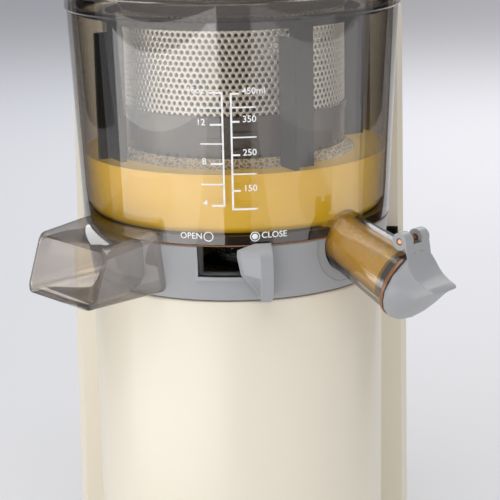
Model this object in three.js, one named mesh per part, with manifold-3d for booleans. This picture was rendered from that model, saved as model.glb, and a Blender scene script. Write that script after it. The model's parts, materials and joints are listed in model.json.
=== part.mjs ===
// Vertical slow juicer, in millimetres, +Z up, front towards -Y. The bowl's axis is x = y = 0 of
// the inner group "model"; the outer group stands the whole object centred over its origin.
import * as THREE from "three";
import { mergeVertices } from "three/addons/utils/BufferGeometryUtils.js";
import Module from "manifold-3d";

const wasm = await Module();
wasm.setup();

// ---- driving dimensions -------------------------------------------------------------------
const gap = 0.3; // between pieces that touch
const runGap = 0.5; // between pieces that move past each other

// Motor body
const footHeight = 6;
const footRadius = 9;
const coverThickness = 3;
const housingWall = 3;
const seatZ = 182; // top of the pedestal, where the bowl's ring sits
const pedestalRadius = 71;
const bodyHalfWidth = 87.4;
const columnHalfWidth = 84;
const bodyBack = 130;
const columnBack = 124;
const columnRise = 123; // top of the column above the seat
const hornFront = 30; // front faces of the rear housing, either side of the pedestal
const columnFront = 48; // and higher up, either side of the bowl
const gripWidth = 96;
const gripHeight = 30;
const gripDepth = 17;
const gripRise = 90; // middle of the grip above the seat

// Bowl and ring
const ringHeight = 26.2;
const ringWall = 3;
const ringTopRadius = 74.3;
const bowlHeight = 108; // from the ring's top to the rim
const bowlTopRadius = 78.8;
const bowlWall = 2.6;
const floorThickness = 4.7;
const sleeveRadius = 14; // outside of the drive sleeve
const sleeveBore = 10.5;
const sleeveDrop = 22; // below the floor

// Pulp spout: a rectangular duct
const pulpAngle = -46.5; // degrees from the front, + towards +X
const pulpHalfWidth = 26;
const pulpWall = 2.2;
const pulpReachTop = 103;
const pulpReachBottom = 112;
const pulpRoofDrop = 3.4; // the roof slopes down towards the mouth
const pulpInnerRadius = 36;
const pulpPortHalfWidth = 6.3;
const pulpLipRadius = 80;

// Juice spout: a round tube that flares towards its mouth
const juiceAngle = 45.5;
const juiceSlope = 19.7; // degrees downwards
const juiceRootHeight = 22; // above the ring's bottom edge
const juiceRootRadius = 13.2;
const juiceMouthRadius = 15.9;
const juiceLength = 38;
const juiceTail = 16; // inside the ring
const juiceWall = 2.2;

// Juice cap
const capRadius = 16.6;
const capReach = 19; // how far the thumb lip stands in front of the mouth
const capHalfWidth = 8; // of the thumb lever
const barrelRadius = 4;
const hingeBack = 6; // hinge axis behind the mouth's plane
const hingeUp = 20; // hinge axis above the spout's axis
const pinRadius = 1.4;
const lugHalfWidth = 2.5;
const plugDepth = 8;

// Pulp lever
const leverAngle = 11;
const leverTravel = 20;
const leverArmZ = 17.5; // underside of the arm above the ring's bottom edge
const leverArmThickness = 4;
const leverArmWidth = 7;
const leverStandOut = 8.6; // handle in front of the ring

// Strainer and wiper frame
const strainerRadius = 53;
const strainerWall = 2.5;
const strainerDrop = 1.2; // top of the strainer below the rim
const meshRise = 80.3; // bottom of the screen above the seat
const crownHeight = 6.3; // of the strainer's top ring
const screenThickness = 0.5;
const wiperInner = 60.8;
const wiperOuter = 63.5;
const wiperDrop = 9.2; // top of the wiper frame below the rim
const wiperArmWidth = 11;
const bladeReach = 69.4;

// Wiper gear train (module, teeth)
const wiperModule = 2;
const augerTeeth = 18;
const idlerTeeth = 20;
const wiperTeeth = augerTeeth + 2 * idlerTeeth;
const gearPlaneLift = 1.3; // above the bowl's floor
const gearFace = 5;

// Auger
const augerClearance = 1.1; // to the inside of the strainer
const augerPin = 5;
const hexAcross = 13;
const hexClearance = 0.5;
const shaftRadius = 8.5;
const sealRadius = 17.7;
const hexRise = 54; // top of the drive hexagon above the seat

// Lid, hopper and pusher
const lidRadius = 79.6;
const tubeRadius = 23;
const tubeWall = 2.5;
const tubeForward = 30;
const tubeRise = 55.8; // top of the feed tube above the rim
const hopperRise = 14; // rim of the dish above the feed tube
const hopperRadius = 56;
const pusherRise = 18; // top of the pusher above the dish
const pusherCapRadius = 27;

// Motor and gearbox
const boxModule = 1.5;
const sunTeeth = 8;
const planetTeeth = 16;
const ringTeeth = sunTeeth + 2 * planetTeeth;
const planetFace = 8;
const boxOuterRadius = 36;
const boxDrop = 71; // gearbox floor below the seat
const motorRadius = 46;
const motorBottomZ = 28;
const rotorRadius = 23.6;

// ---- derived heights ----------------------------------------------------------------------
const ringTopZ = seatZ + ringHeight;
const floorTopZ = ringTopZ + gap + floorThickness;
const rimZ = ringTopZ + bowlHeight;
const gearZ = floorTopZ + gearPlaneLift;
const strainerFootZ = gearZ + gearFace + 1;
const coverTopZ = footHeight + coverThickness;
const lidZ = rimZ + gap;
const columnTop = seatZ + columnRise;
const gripZ = seatZ + gripRise;
const strainerTop = rimZ - strainerDrop;
const meshFrom = seatZ + meshRise;
const meshTo = strainerTop - crownHeight;
const wiperTop = rimZ - wiperDrop;
const hexTop = seatZ + hexRise;
const tubeTop = rimZ + tubeRise;
const hopperTop = tubeTop + hopperRise;
const pusherTop = hopperTop + pusherRise;
const boxFloorZ = seatZ - boxDrop;
const augerRadius = strainerRadius - strainerWall - augerClearance;

const deg = Math.PI / 180;

// ---- materials ----------------------------------------------------------------------------
function paint(color, roughness, metalness = 0, opacity = 1) {
  return new THREE.MeshStandardMaterial({
    color, roughness, metalness, opacity, transparent: opacity < 1,
  });
}
const cream = paint(0xe2dac7, 0.4);
const grey = paint(0x97999b, 0.45);
const smoke = paint(0x6b6058, 0.08, 0, 0.4);
const amber = paint(0x5a4028, 0.2, 0, 0.7);
const dark = paint(0x1e1d1c, 0.5);
const rubber = paint(0x161616, 0.8);
const steel = paint(0xb9bbbd, 0.3, 1);
const copper = paint(0xa9683c, 0.35, 1);
const white = paint(0xd9d9d4, 0.5);
const green = paint(0x1f5a3a, 0.5);

// ---- solids: closed geometry joined and cut -------------------------------------------------
function toSolid(geometry) {
  const g = geometry.clone();
  g.deleteAttribute("normal");
  g.deleteAttribute("uv");
  const merged = mergeVertices(g, 1e-4);
  return new wasm.Manifold(new wasm.Mesh({
    numProp: 3,
    vertProperties: merged.attributes.position.array,
    triVerts: new Uint32Array(merged.index.array),
  }));
}
function toGeometry(solid) {
  const m = solid.getMesh();
  const position = new Float32Array(m.numVert * 3);
  for (let i = 0; i < m.numVert; i++) {
    position.set(m.vertProperties.subarray(i * m.numProp, i * m.numProp + 3), i * 3);
  }
  const g = new THREE.BufferGeometry();
  g.setAttribute("position", new THREE.BufferAttribute(position, 3));
  g.setIndex(new THREE.BufferAttribute(new Uint32Array(m.triVerts), 1));
  g.computeVertexNormals();
  return g;
}
function join(...pieces) {
  return toGeometry(pieces.map(toSolid).reduce((a, b) => a.add(b)));
}
function cut(base, ...tools) {
  return toGeometry(tools.map(toSolid).reduce((a, b) => a.subtract(b), toSolid(base)));
}
function overlap(a, b) {
  return toGeometry(toSolid(a).intersect(toSolid(b)));
}
function moved(geometry, x, y, z) {
  return geometry.clone().translate(x, y, z);
}

// A body of revolution about +Z from a closed profile of [radius, z] pairs.
function revolve(profile, segments = 48) {
  const points = profile.map(([r, z]) => new THREE.Vector2(r, z));
  if (profile[0][0] > 0) points.push(points[0].clone());
  let area = 0;
  for (let i = 0; i < profile.length; i++) {
    const [r0, z0] = profile[i];
    const [r1, z1] = profile[(i + 1) % profile.length];
    area += r0 * z1 - r1 * z0;
  }
  if (area < 0) points.reverse();
  return new THREE.LatheGeometry(points, segments).rotateX(90 * deg);
}
function cylinder(radius, from, to, segments = 24) {
  return revolve([[0, from], [radius, from], [radius, to], [0, to]], segments);
}
function tube(outer, inner, from, to, segments = 48) {
  return revolve([[inner, from], [outer, from], [outer, to], [inner, to]], segments);
}
function box(x0, x1, y0, y1, z0, z1) {
  return new THREE.BoxGeometry(x1 - x0, y1 - y0, z1 - z0)
    .translate((x0 + x1) / 2, (y0 + y1) / 2, (z0 + z1) / 2);
}
// A prism between two heights from a plan outline of [x, y] pairs.
function prism(outline, from, to) {
  const shape = new THREE.Shape(outline.map(([x, y]) => new THREE.Vector2(x, y)));
  return new THREE.ExtrudeGeometry(shape, { depth: to - from, bevelEnabled: false, steps: 1 })
    .translate(0, 0, from);
}
// A solid through a stack of outlines [{z, points: [[x, y], ...]}], all with as many points.
function loft(levels) {
  const count = levels[0].points.length;
  const position = [];
  const index = [];
  for (const level of levels) {
    for (const [x, y] of level.points) position.push(x, y, level.z);
  }
  for (let k = 0; k + 1 < levels.length; k++) {
    for (let i = 0; i < count; i++) {
      const j = (i + 1) % count;
      const a = k * count + i;
      const b = k * count + j;
      const c = a + count;
      const d = b + count;
      index.push(a, b, d, a, d, c);
    }
  }
  const cap = (level) => THREE.ShapeUtils.triangulateShape(
    level.points.map(([x, y]) => new THREE.Vector2(x, y)), []);
  const top = (levels.length - 1) * count;
  for (const [a, b, c] of cap(levels[0])) index.push(a, c, b);
  for (const [a, b, c] of cap(levels[levels.length - 1])) index.push(top + a, top + b, top + c);
  const g = new THREE.BufferGeometry();
  g.setAttribute("position", new THREE.Float32BufferAttribute(position, 3));
  g.setIndex(index);
  return g;
}
// Turns a shape made along +Y (outwards) to stand at an angle from the front, -Y.
function facing(geometry, angle) {
  return geometry.clone().rotateZ((180 + angle) * deg);
}
function sector(inner, outer, from, to, z0, z1, steps = 10) {
  const outline = [];
  for (let i = 0; i <= steps; i++) {
    const a = (from + ((to - from) * i) / steps) * deg;
    outline.push([outer * Math.sin(a), -outer * Math.cos(a)]);
  }
  for (let i = steps; i >= 0; i--) {
    const a = (from + ((to - from) * i) / steps) * deg;
    outline.push([inner * Math.sin(a), -inner * Math.cos(a)]);
  }
  return prism(outline, z0, z1);
}

// ---- gears --------------------------------------------------------------------------------
// Tooth outline: half widths at root, pitch and tip, as shares of the tooth pitch.
const toothRoot = 0.22;
const toothTip = 0.1;
function gearOutline(module, teeth, phase, internal = false) {
  const pitch = (module * teeth) / 2;
  const side = internal ? -1 : 1;
  const root = pitch - side * 1.15 * module;
  const tip = pitch + side * 0.8 * module;
  const step = (2 * Math.PI) / teeth;
  const outline = [];
  for (let i = 0; i < teeth; i++) {
    const a = phase + i * step;
    for (const [r, t] of [[root, -toothRoot], [tip, -toothTip], [tip, toothTip], [root, toothRoot]]) {
      outline.push([r * Math.cos(a + t * step), r * Math.sin(a + t * step)]);
    }
  }
  return outline;
}
function circleOutline(radius, segments) {
  const outline = [];
  for (let i = 0; i < segments; i++) {
    const a = (i / segments) * 2 * Math.PI;
    outline.push([radius * Math.cos(a), radius * Math.sin(a)]);
  }
  return outline;
}
function plate(outline, holes, from, to) {
  const shape = new THREE.Shape(outline.map(([x, y]) => new THREE.Vector2(x, y)));
  for (const hole of holes) {
    shape.holes.push(new THREE.Path(hole.map(([x, y]) => new THREE.Vector2(x, y))));
  }
  return new THREE.ExtrudeGeometry(shape, { depth: to - from, bevelEnabled: false, steps: 1 })
    .translate(0, 0, from);
}
// Phase that meshes a gear at direction line with the gear it runs against.
function outerMesh(line, driverPhase, driverTeeth, teeth) {
  return line + Math.PI - Math.PI / teeth + ((line - driverPhase) * driverTeeth) / teeth;
}
function innerMesh(line, planetPhase, planetTeethCount, teeth) {
  const turn = ((line - planetPhase) * planetTeethCount) / (2 * Math.PI);
  return line - ((turn + 0.5) * 2 * Math.PI) / teeth;
}

// ---- assembly -----------------------------------------------------------------------------
const object = new THREE.Group();
const model = new THREE.Group();
object.add(model);
function add(name, geometry, material, parent = model) {
  const mesh = new THREE.Mesh(geometry, material);
  mesh.name = name;
  parent.add(mesh);
  return mesh;
}

// ---- motor body ---------------------------------------------------------------------------
// Plan of the rear housing: rounded back, front edge hollowed round the bowl.
function rearPlan(halfWidth, back, front, hollow) {
  const outline = [];
  const centre = 62;
  const reach = Math.sqrt(hollow * hollow - front * front);
  outline.push([reach, front], [halfWidth - 3, front], [halfWidth, front + 4]);
  const steps = 14;
  for (let i = 0; i <= steps; i++) {
    const t = (i / steps) * Math.PI;
    const c = Math.cos(t);
    const s = Math.sin(t);
    outline.push([
      halfWidth * Math.sign(c) * Math.pow(Math.abs(c), 0.6),
      centre + (back - centre) * Math.pow(s, 0.6),
    ]);
  }
  outline.push([-halfWidth, front + 4], [-halfWidth + 3, front], [-reach, front]);
  const start = Math.PI - Math.asin(front / hollow);
  const end = Math.asin(front / hollow);
  const arc = 12;
  for (let i = 1; i < arc; i++) {
    const a = start + ((end - start) * i) / arc;
    outline.push([hollow * Math.cos(a), hollow * Math.sin(a)]);
  }
  return outline;
}
const pedestalFit = pedestalRadius + 0.7;
const columnFit = lidRadius + 3.4;
function rearSolid(inset, bottom, top, stepZ) {
  const level = (z, front, hollow, more = 0) => {
    const share = Math.min((z - coverTopZ) / (columnTop - coverTopZ), 1);
    const less = inset + more;
    return {
      z,
      points: rearPlan(
        bodyHalfWidth + (columnHalfWidth - bodyHalfWidth) * share - less,
        bodyBack + (columnBack - bodyBack) * share - less,
        front + less,
        hollow + less,
      ),
    };
  };
  return loft([
    level(bottom, hornFront, pedestalFit),
    level(stepZ, hornFront, pedestalFit),
    level(stepZ + 1, columnFront, columnFit),
    level(top - 5, columnFront, columnFit),
    level(top - 1.5, columnFront, columnFit, 1.2),
    level(top, columnFront, columnFit, 4),
  ]);
}
function gripBox(more) {
  const half = gripWidth / 2 + more;
  const tall = gripHeight / 2 + more;
  const inner = columnBack - gripDepth - more;
  return box(-half, half, inner, bodyBack + 5, gripZ - tall, gripZ + tall);
}
const switchY = 72;
const switchZ = 96;
const glandX = 52;
const glandZ = 30;
const glandY = bodyBack - 4;
function rearHousing() {
  const outer = rearSolid(0, coverTopZ + gap, columnTop, seatZ + 1);
  const inner = cut(
    rearSolid(housingWall, coverTopZ - 2, columnTop - housingWall, seatZ + 1 + housingWall),
    gripBox(housingWall),
  );
  const tools = [inner, gripBox(0)];
  tools.push(box(bodyHalfWidth - 9, bodyHalfWidth + 4, switchY - 9, switchY + 9,
    switchZ - 17, switchZ + 17));
  tools.push(moved(cylinder(5.2, 0, 14).rotateX(-90 * deg), glandX, glandY - 9, glandZ));
  for (let i = -2; i <= 2; i++) {
    tools.push(box(i * 10 - 1.5, i * 10 + 1.5, bodyBack - 12, bodyBack + 4, 44, 78));
  }
  return cut(outer, ...tools);
}
add("rear_housing", rearHousing(), cream);

function frontHousing() {
  const r = pedestalRadius;
  const inner = r - housingWall;
  const deck = seatZ - gap;
  const seat = sealRadius + gap;
  return revolve([
    [inner, coverTopZ + gap], [r, coverTopZ + gap], [r, deck - 1.2], [r - 1.2, deck],
    [seat, deck], [seat, deck - 5], [seat - 4, deck - 5], [seat - 4, deck - 8], [inner, deck - 8],
  ], 40);
}
add("front_housing", frontHousing(), cream);

const screwPlaces = [[0, -60], [-38, 104], [38, 104]];
function bottomCover() {
  const disc = cylinder(pedestalRadius, footHeight, coverTopZ, 40);
  const back = prism(rearPlan(bodyHalfWidth, bodyBack, hornFront, pedestalFit - 1.5),
    footHeight, coverTopZ);
  const slots = [];
  for (let i = -2; i <= 2; i++) {
    slots.push(box(i * 12 - 2, i * 12 + 2, -26, 26, footHeight - 2, coverTopZ + 2));
  }
  for (const [x, y] of screwPlaces) {
    slots.push(moved(cylinder(2.4, footHeight - 2, coverTopZ + 2, 8), x, y, 0));
  }
  return cut(join(disc, back), ...slots);
}
add("bottom_cover", bottomCover(), dark);
screwPlaces.forEach(([x, y], i) => {
  const screw = revolve([[0, footHeight - 2.5], [4, footHeight - 2.5], [4, footHeight - gap],
    [2, footHeight - gap], [2, coverTopZ + 6], [0, coverTopZ + 6]], 8);
  add("cover_screw_" + (i + 1), screw, steel).position.set(x, y, 0);
});
[[-44, -38], [44, -38], [-66, 96], [66, 96]].forEach(([x, y], i) => {
  const top = footHeight - gap;
  const foot = revolve([[0, 0], [footRadius - 1, 0], [footRadius, 1.5], [footRadius, top], [0, top]], 14);
  add("foot_" + (i + 1), foot, rubber).position.set(x, y, 0);
});

// Switch on the right flank and cable gland at the back
function switchBezel() {
  const face = bodyHalfWidth + 0.6;
  const frame = box(face - 8, face, switchY - 8.7, switchY + 8.7, switchZ - 16.7, switchZ + 16.7);
  const well = box(face - 7, face + 2, switchY - 6.2, switchY + 6.2, switchZ - 13.4, switchZ + 13.4);
  return cut(frame, well);
}
add("switch_bezel", switchBezel(), grey);
function switchRocker() {
  const half = 12.6;
  const outline = [[-half, 1.2], [-half, -0.6], [-2, -5], [2, -5], [half, -0.6], [half, 1.2],
    [half * 0.45, 0.1], [0, -0.3], [-half * 0.45, 0.1]];
  return prism(outline, -5.7, 5.7).rotateX(90 * deg).rotateY(-90 * deg);
}
const rockerX = bodyHalfWidth - 0.4;
add("switch_rocker", switchRocker().rotateZ(180 * deg), dark).position.set(rockerX, switchY, switchZ);
function cableGland() {
  return revolve([[3.2, -8], [5, -8], [5, -0.2], [8, 0], [7.4, 3], [5.6, 6], [3.2, 6]], 14)
    .rotateX(-90 * deg);
}
add("cable_gland", cableGland(), rubber).position.set(glandX, glandY + 4.6, glandZ);

// Control board and safety switch in the rear housing
add("control_board", join(
  box(-34, 34, 96, 97.6, 96, 150),
  box(-26, -8, 97.5, 110, 104, 126),
  box(4, 24, 97.5, 106, 112, 140),
), green);
add("safety_switch", join(
  box(-10, 10, 90, 97, seatZ + 6, seatZ + 18),
  box(-2, 2, 86.6, 90.1, seatZ + 9, seatZ + 13),
), dark);

// ---- motor --------------------------------------------------------------------------------
const motorTopZ = boxFloorZ - 5;
add("motor_cup", revolve([
  [motorRadius - 2, motorBottomZ], [motorRadius, motorBottomZ], [motorRadius, motorTopZ - gap],
  [9, motorTopZ - gap], [9, motorTopZ - 3], [motorRadius - 2, motorTopZ - 3],
], 28), steel);
add("motor_stator", tube(motorRadius - 2.5, rotorRadius + 0.7, motorBottomZ + 10, motorTopZ - 20, 28), dark);
add("stator_winding", revolve([
  [rotorRadius + 3, motorTopZ - 19.6], [motorRadius - 5, motorTopZ - 19.6],
  [motorRadius - 7, motorTopZ - 8], [rotorRadius + 6, motorTopZ - 8],
], 24), copper);
const rotor = new THREE.Group();
model.add(rotor);
add("rotor_core", tube(rotorRadius, 4.3, motorBottomZ + 12, motorTopZ - 22, 20), steel, rotor);
const sunPhase = 0;
const boxSun = (module, from, to) =>
  prism(gearOutline(module, sunTeeth, sunPhase), from, to);
const stageOneZ = boxFloorZ + 2;
const carrierOneZ = stageOneZ + planetFace + 0.5;
const stageTwoZ = carrierOneZ + 3.5;
const carrierTwoZ = stageTwoZ + planetFace + 0.5;
const boxCoverZ = carrierTwoZ + 4.2;
add("rotor_shaft", join(
  cylinder(4, motorBottomZ - 14, stageOneZ, 12),
  boxSun(boxModule, stageOneZ - 0.5, stageOneZ + planetFace),
), steel, rotor);
function fan() {
  const pieces = [tube(10, 4.3, 14, 23, 14)];
  for (let i = 0; i < 7; i++) {
    pieces.push(box(9, 40, -0.9, 0.9, 15, 22).rotateZ((i * 360 * deg) / 7));
  }
  return join(...pieces);
}
add("cooling_fan", fan(), dark, rotor);

// ---- two-stage planetary gearbox ------------------------------------------------------------
const planetReach = (boxModule * (sunTeeth + planetTeeth)) / 2;
const planetLines = [0, 120, 240].map((a) => (a + 90) * deg);
const planetPhase = (line) => outerMesh(line, sunPhase, sunTeeth, planetTeeth);
const ringPhase = innerMesh(planetLines[0], planetPhase(planetLines[0]), planetTeeth, ringTeeth);
add("gearbox_ring", plate(
  circleOutline(boxOuterRadius, 28),
  [gearOutline(boxModule, ringTeeth, ringPhase, true)],
  boxFloorZ, boxCoverZ - gap,
), grey);
add("gearbox_base", tube(boxOuterRadius, 5, motorTopZ, boxFloorZ - gap, 28), steel);
add("gearbox_cover", revolve([
  [shaftRadius + runGap, boxCoverZ], [boxOuterRadius, boxCoverZ], [boxOuterRadius, boxCoverZ + 4],
  [14, boxCoverZ + 4], [14, boxCoverZ + 30], [shaftRadius + runGap, boxCoverZ + 30],
], 28), steel);
add("gearbox_mount", revolve([
  [14.4, boxCoverZ + 4.4], [pedestalRadius - housingWall - gap, boxCoverZ + 4.4],
  [pedestalRadius - housingWall - gap, boxCoverZ + 8], [14.4, boxCoverZ + 8],
], 32), dark);
function planetGear(line) {
  return plate(gearOutline(boxModule, planetTeeth, planetPhase(line)), [circleOutline(3, 10)],
    0, planetFace);
}
[["planet_1", stageOneZ], ["planet_2", stageTwoZ]].forEach(([name, z]) => {
  planetLines.forEach((line, i) => {
    add(name + "abc"[i], planetGear(line), white)
      .position.set(planetReach * Math.cos(line), planetReach * Math.sin(line), z);
  });
});
function carrier(plateZ, plateTop) {
  const pieces = [cylinder(planetReach + 4.5, plateZ, plateTop, 24)];
  for (const line of planetLines) {
    pieces.push(moved(cylinder(2.6, plateZ - planetFace, plateZ + 0.2, 8),
      planetReach * Math.cos(line), planetReach * Math.sin(line), 0));
  }
  return pieces;
}
add("carrier_1", join(
  ...carrier(carrierOneZ, carrierOneZ + 2.8),
  boxSun(boxModule, carrierOneZ + 2.5, stageTwoZ + planetFace),
), steel);
function hexagon(across) {
  const outline = [];
  for (let i = 0; i < 6; i++) {
    const a = (i * 60 + 30) * deg;
    const r = across / 2 / Math.cos(30 * deg);
    outline.push([r * Math.cos(a), r * Math.sin(a)]);
  }
  return outline;
}
add("output_shaft", join(
  ...carrier(carrierTwoZ, carrierTwoZ + 3.5),
  cylinder(shaftRadius, carrierTwoZ + 3, ringTopZ, 18),
  prism(hexagon(hexAcross), ringTopZ - 1, hexTop),
), steel);
add("shaft_seal", tube(sealRadius, shaftRadius + runGap, seatZ - 5, seatZ + 1.5, 24), rubber);

// ---- bowl ---------------------------------------------------------------------------------
const bowlSet = new THREE.Group();
model.add(bowlSet);
const taper = (bowlTopRadius - ringTopRadius) / bowlHeight;
const bowlRadiusAt = (z) => ringTopRadius + taper * (z - ringTopZ);

// Frame of the juice spout: origin at its root, +Z out along the tube, +Y up, X to the side.
const spoutRoot = new THREE.Vector3(
  ringTopRadius * Math.sin(juiceAngle * deg), -ringTopRadius * Math.cos(juiceAngle * deg),
  seatZ + juiceRootHeight);
const spoutOut = new THREE.Vector3(
  Math.sin(juiceAngle * deg) * Math.cos(juiceSlope * deg),
  -Math.cos(juiceAngle * deg) * Math.cos(juiceSlope * deg), -Math.sin(juiceSlope * deg));
const spoutSide = new THREE.Vector3(Math.cos(juiceAngle * deg), Math.sin(juiceAngle * deg), 0);
const spoutUp = new THREE.Vector3().crossVectors(spoutOut, spoutSide);
const spoutFrame = new THREE.Matrix4().makeBasis(spoutSide, spoutUp, spoutOut).setPosition(spoutRoot);
const atSpout = (geometry) => geometry.clone().applyMatrix4(spoutFrame);
const spoutRadiusAt = (s) =>
  juiceRootRadius + ((juiceMouthRadius - juiceRootRadius) * Math.max(s, 0)) / juiceLength;
const spoutCone = (from, to, change, segments = 26) => revolve([
  [0, from], [spoutRadiusAt(from) + change, from], [spoutRadiusAt(0) + change, 0],
  [spoutRadiusAt(to) + change, to], [0, to],
], segments);

// The pulp spout's plan in its own frame, +Y outwards.
function pulpPlan(change, innerEnd, outerEnd) {
  const half = pulpHalfWidth + change;
  const port = pulpPortHalfWidth + pulpWall + change;
  return [[port, innerEnd], [half, pulpInnerRadius + 28], [half, outerEnd],
    [-half, outerEnd], [-half, pulpInnerRadius + 28], [-port, innerEnd]];
}
// Its side profile, as a prism across its width: the roof steps up outside the bowl.
function pulpSide(change, innerEnd) {
  const under = seatZ + 2 - change;
  const low = ringTopZ - gap + change;
  const high = floorTopZ + 0.9 + change;
  const step = ringTopRadius + 0.6 - change;
  const far = pulpReachBottom + 20;
  const fall = (pulpRoofDrop * (far - step)) / (pulpReachTop - step);
  const outline = [[innerEnd, under], [far, under], [far, high - fall], [step, high],
    [step, low], [innerEnd, low]];
  return prism(outline, -60, 60).rotateX(90 * deg).rotateZ(90 * deg);
}
function pulpMouth() {
  const centre = pulpReachTop - pulpLipRadius;
  const lean = (pulpReachBottom - pulpReachTop) / (floorTopZ - seatZ);
  const top = pulpLipRadius - 5 * lean;
  const bottom = pulpLipRadius + (floorTopZ + 5 - seatZ) * lean;
  const cone = revolve([[0, seatZ - 5], [bottom, seatZ - 5], [top, floorTopZ + 5], [0, floorTopZ + 5]], 96);
  return moved(cone, 0, centre, 0);
}
const pulpOuter = (change, innerEnd = pulpInnerRadius) =>
  overlap(prism(pulpPlan(change, innerEnd, pulpReachBottom + 20), seatZ - 5, rimZ),
    pulpSide(change, innerEnd));
function pulpSpout() {
  const outside = overlap(pulpOuter(0), pulpMouth());
  const inside = pulpOuter(-pulpWall, pulpInnerRadius - 3);
  const bowlBody = revolve([[0, ringTopZ - gap], [ringTopRadius + gap, ringTopZ - gap],
    [ringTopRadius + gap, ringTopZ], [bowlRadiusAt(rimZ) + gap, rimZ], [0, rimZ]], 96);
  return cut(outside, inside, facing(bowlBody, -pulpAngle));
}
add("pulp_spout", facing(pulpSpout(), pulpAngle), smoke, bowlSet);

function juiceSpout() {
  const outside = spoutCone(-juiceTail, juiceLength, 0);
  const bore = spoutCone(-juiceTail + 2, juiceLength + 1, -juiceWall);
  const rim = revolve([
    [spoutRadiusAt(juiceLength) - juiceWall, juiceLength - 2],
    [juiceMouthRadius + 0.8, juiceLength - 2], [juiceMouthRadius + 0.8, juiceLength],
    [spoutRadiusAt(juiceLength) - juiceWall, juiceLength],
  ], 26);
  const z = juiceLength - hingeBack;
  const lug = join(
    box(-lugHalfWidth, lugHalfWidth, spoutRadiusAt(z) - 1, hingeUp, z - 3.4, z + 3.4),
    moved(cylinder(3.4, -lugHalfWidth, lugHalfWidth, 16).rotateY(90 * deg), 0, hingeUp, z),
  );
  const pinHole = moved(cylinder(pinRadius + gap, -10, 10, 10).rotateY(90 * deg), 0, hingeUp, z);
  const body = cut(join(cut(join(outside, rim), bore), lug), pinHole);
  const underFloor = revolve([[0, ringTopZ - gap], [ringTopRadius - bowlWall - 1, ringTopZ - gap],
    [ringTopRadius - bowlWall - 1, rimZ], [0, rimZ]], 64);
  return cut(atSpout(body), underFloor);
}
add("juice_spout", juiceSpout(), smoke, bowlSet);
const hingeAt = new THREE.Vector3(0, hingeUp, juiceLength - hingeBack).applyMatrix4(spoutFrame);
add("hinge_pin", atSpout(moved(cylinder(pinRadius, -capHalfWidth + 0.2, capHalfWidth - 0.2, 10)
  .rotateY(90 * deg), 0, hingeUp, juiceLength - hingeBack)), copper, bowlSet);

function baseRing() {
  const ring = revolve([
    [pedestalRadius - ringWall, seatZ + gap], [pedestalRadius, seatZ + gap],
    [ringTopRadius, ringTopZ], [ringTopRadius - ringWall, ringTopZ],
  ], 60);
  const from = leverAngle - leverTravel - 3.6;
  const to = leverAngle + 4.2;
  const slotZ = seatZ + leverArmZ - 1;
  const slot = sector(60, 80, from + 0.4, to - 0.8, slotZ, slotZ + leverArmThickness + 2);
  const recess = sector(ringTopRadius - 1.9, 80, from, to - 0.4, seatZ + 11.4, ringTopZ - 1);
  return cut(ring, slot, recess, facing(pulpOuter(gap), pulpAngle),
    atSpout(spoutCone(-juiceTail - 1, juiceLength, gap)));
}
add("base_ring", baseRing(), grey, bowlSet);

function bowlShell() {
  const under = ringTopZ + gap;
  const top = floorTopZ;
  const r = (z) => bowlRadiusAt(z);
  const shell = revolve([
    [sleeveBore, under - sleeveDrop], [sleeveRadius, under - sleeveDrop], [sleeveRadius, under],
    [r(under), under], [r(rimZ - 8), rimZ - 8], [r(rimZ - 7) + 1, rimZ - 7], [r(rimZ) + 0.8, rimZ],
    [r(rimZ) - bowlWall, rimZ], [r(top) - bowlWall, top],
    [sleeveRadius, top], [sleeveRadius, top + 8.6], [sleeveBore, top + 8.6],
  ], 48);
  const pulpPort = sector(23, 33, pulpAngle - 11, pulpAngle + 11, under - 2, top + 2, 6);
  const posts = [pulpAngle + 90, pulpAngle - 90].map((angle) => facing(moved(
    cylinder(3, top - 1, gearZ + gearFace, 14), 0, idlerReach, 0), angle));
  return join(
    cut(shell, pulpPort, atSpout(spoutCone(-juiceTail - 1, juiceLength, gap))), ...posts);
}
const idlerReach = (wiperModule * (augerTeeth + idlerTeeth)) / 2;
add("bowl_shell", bowlShell(), smoke, bowlSet);
add("drive_seal", tube(sleeveBore - gap, shaftRadius + runGap, ringTopZ - 20, ringTopZ - 12, 20),
  rubber, bowlSet);

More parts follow.
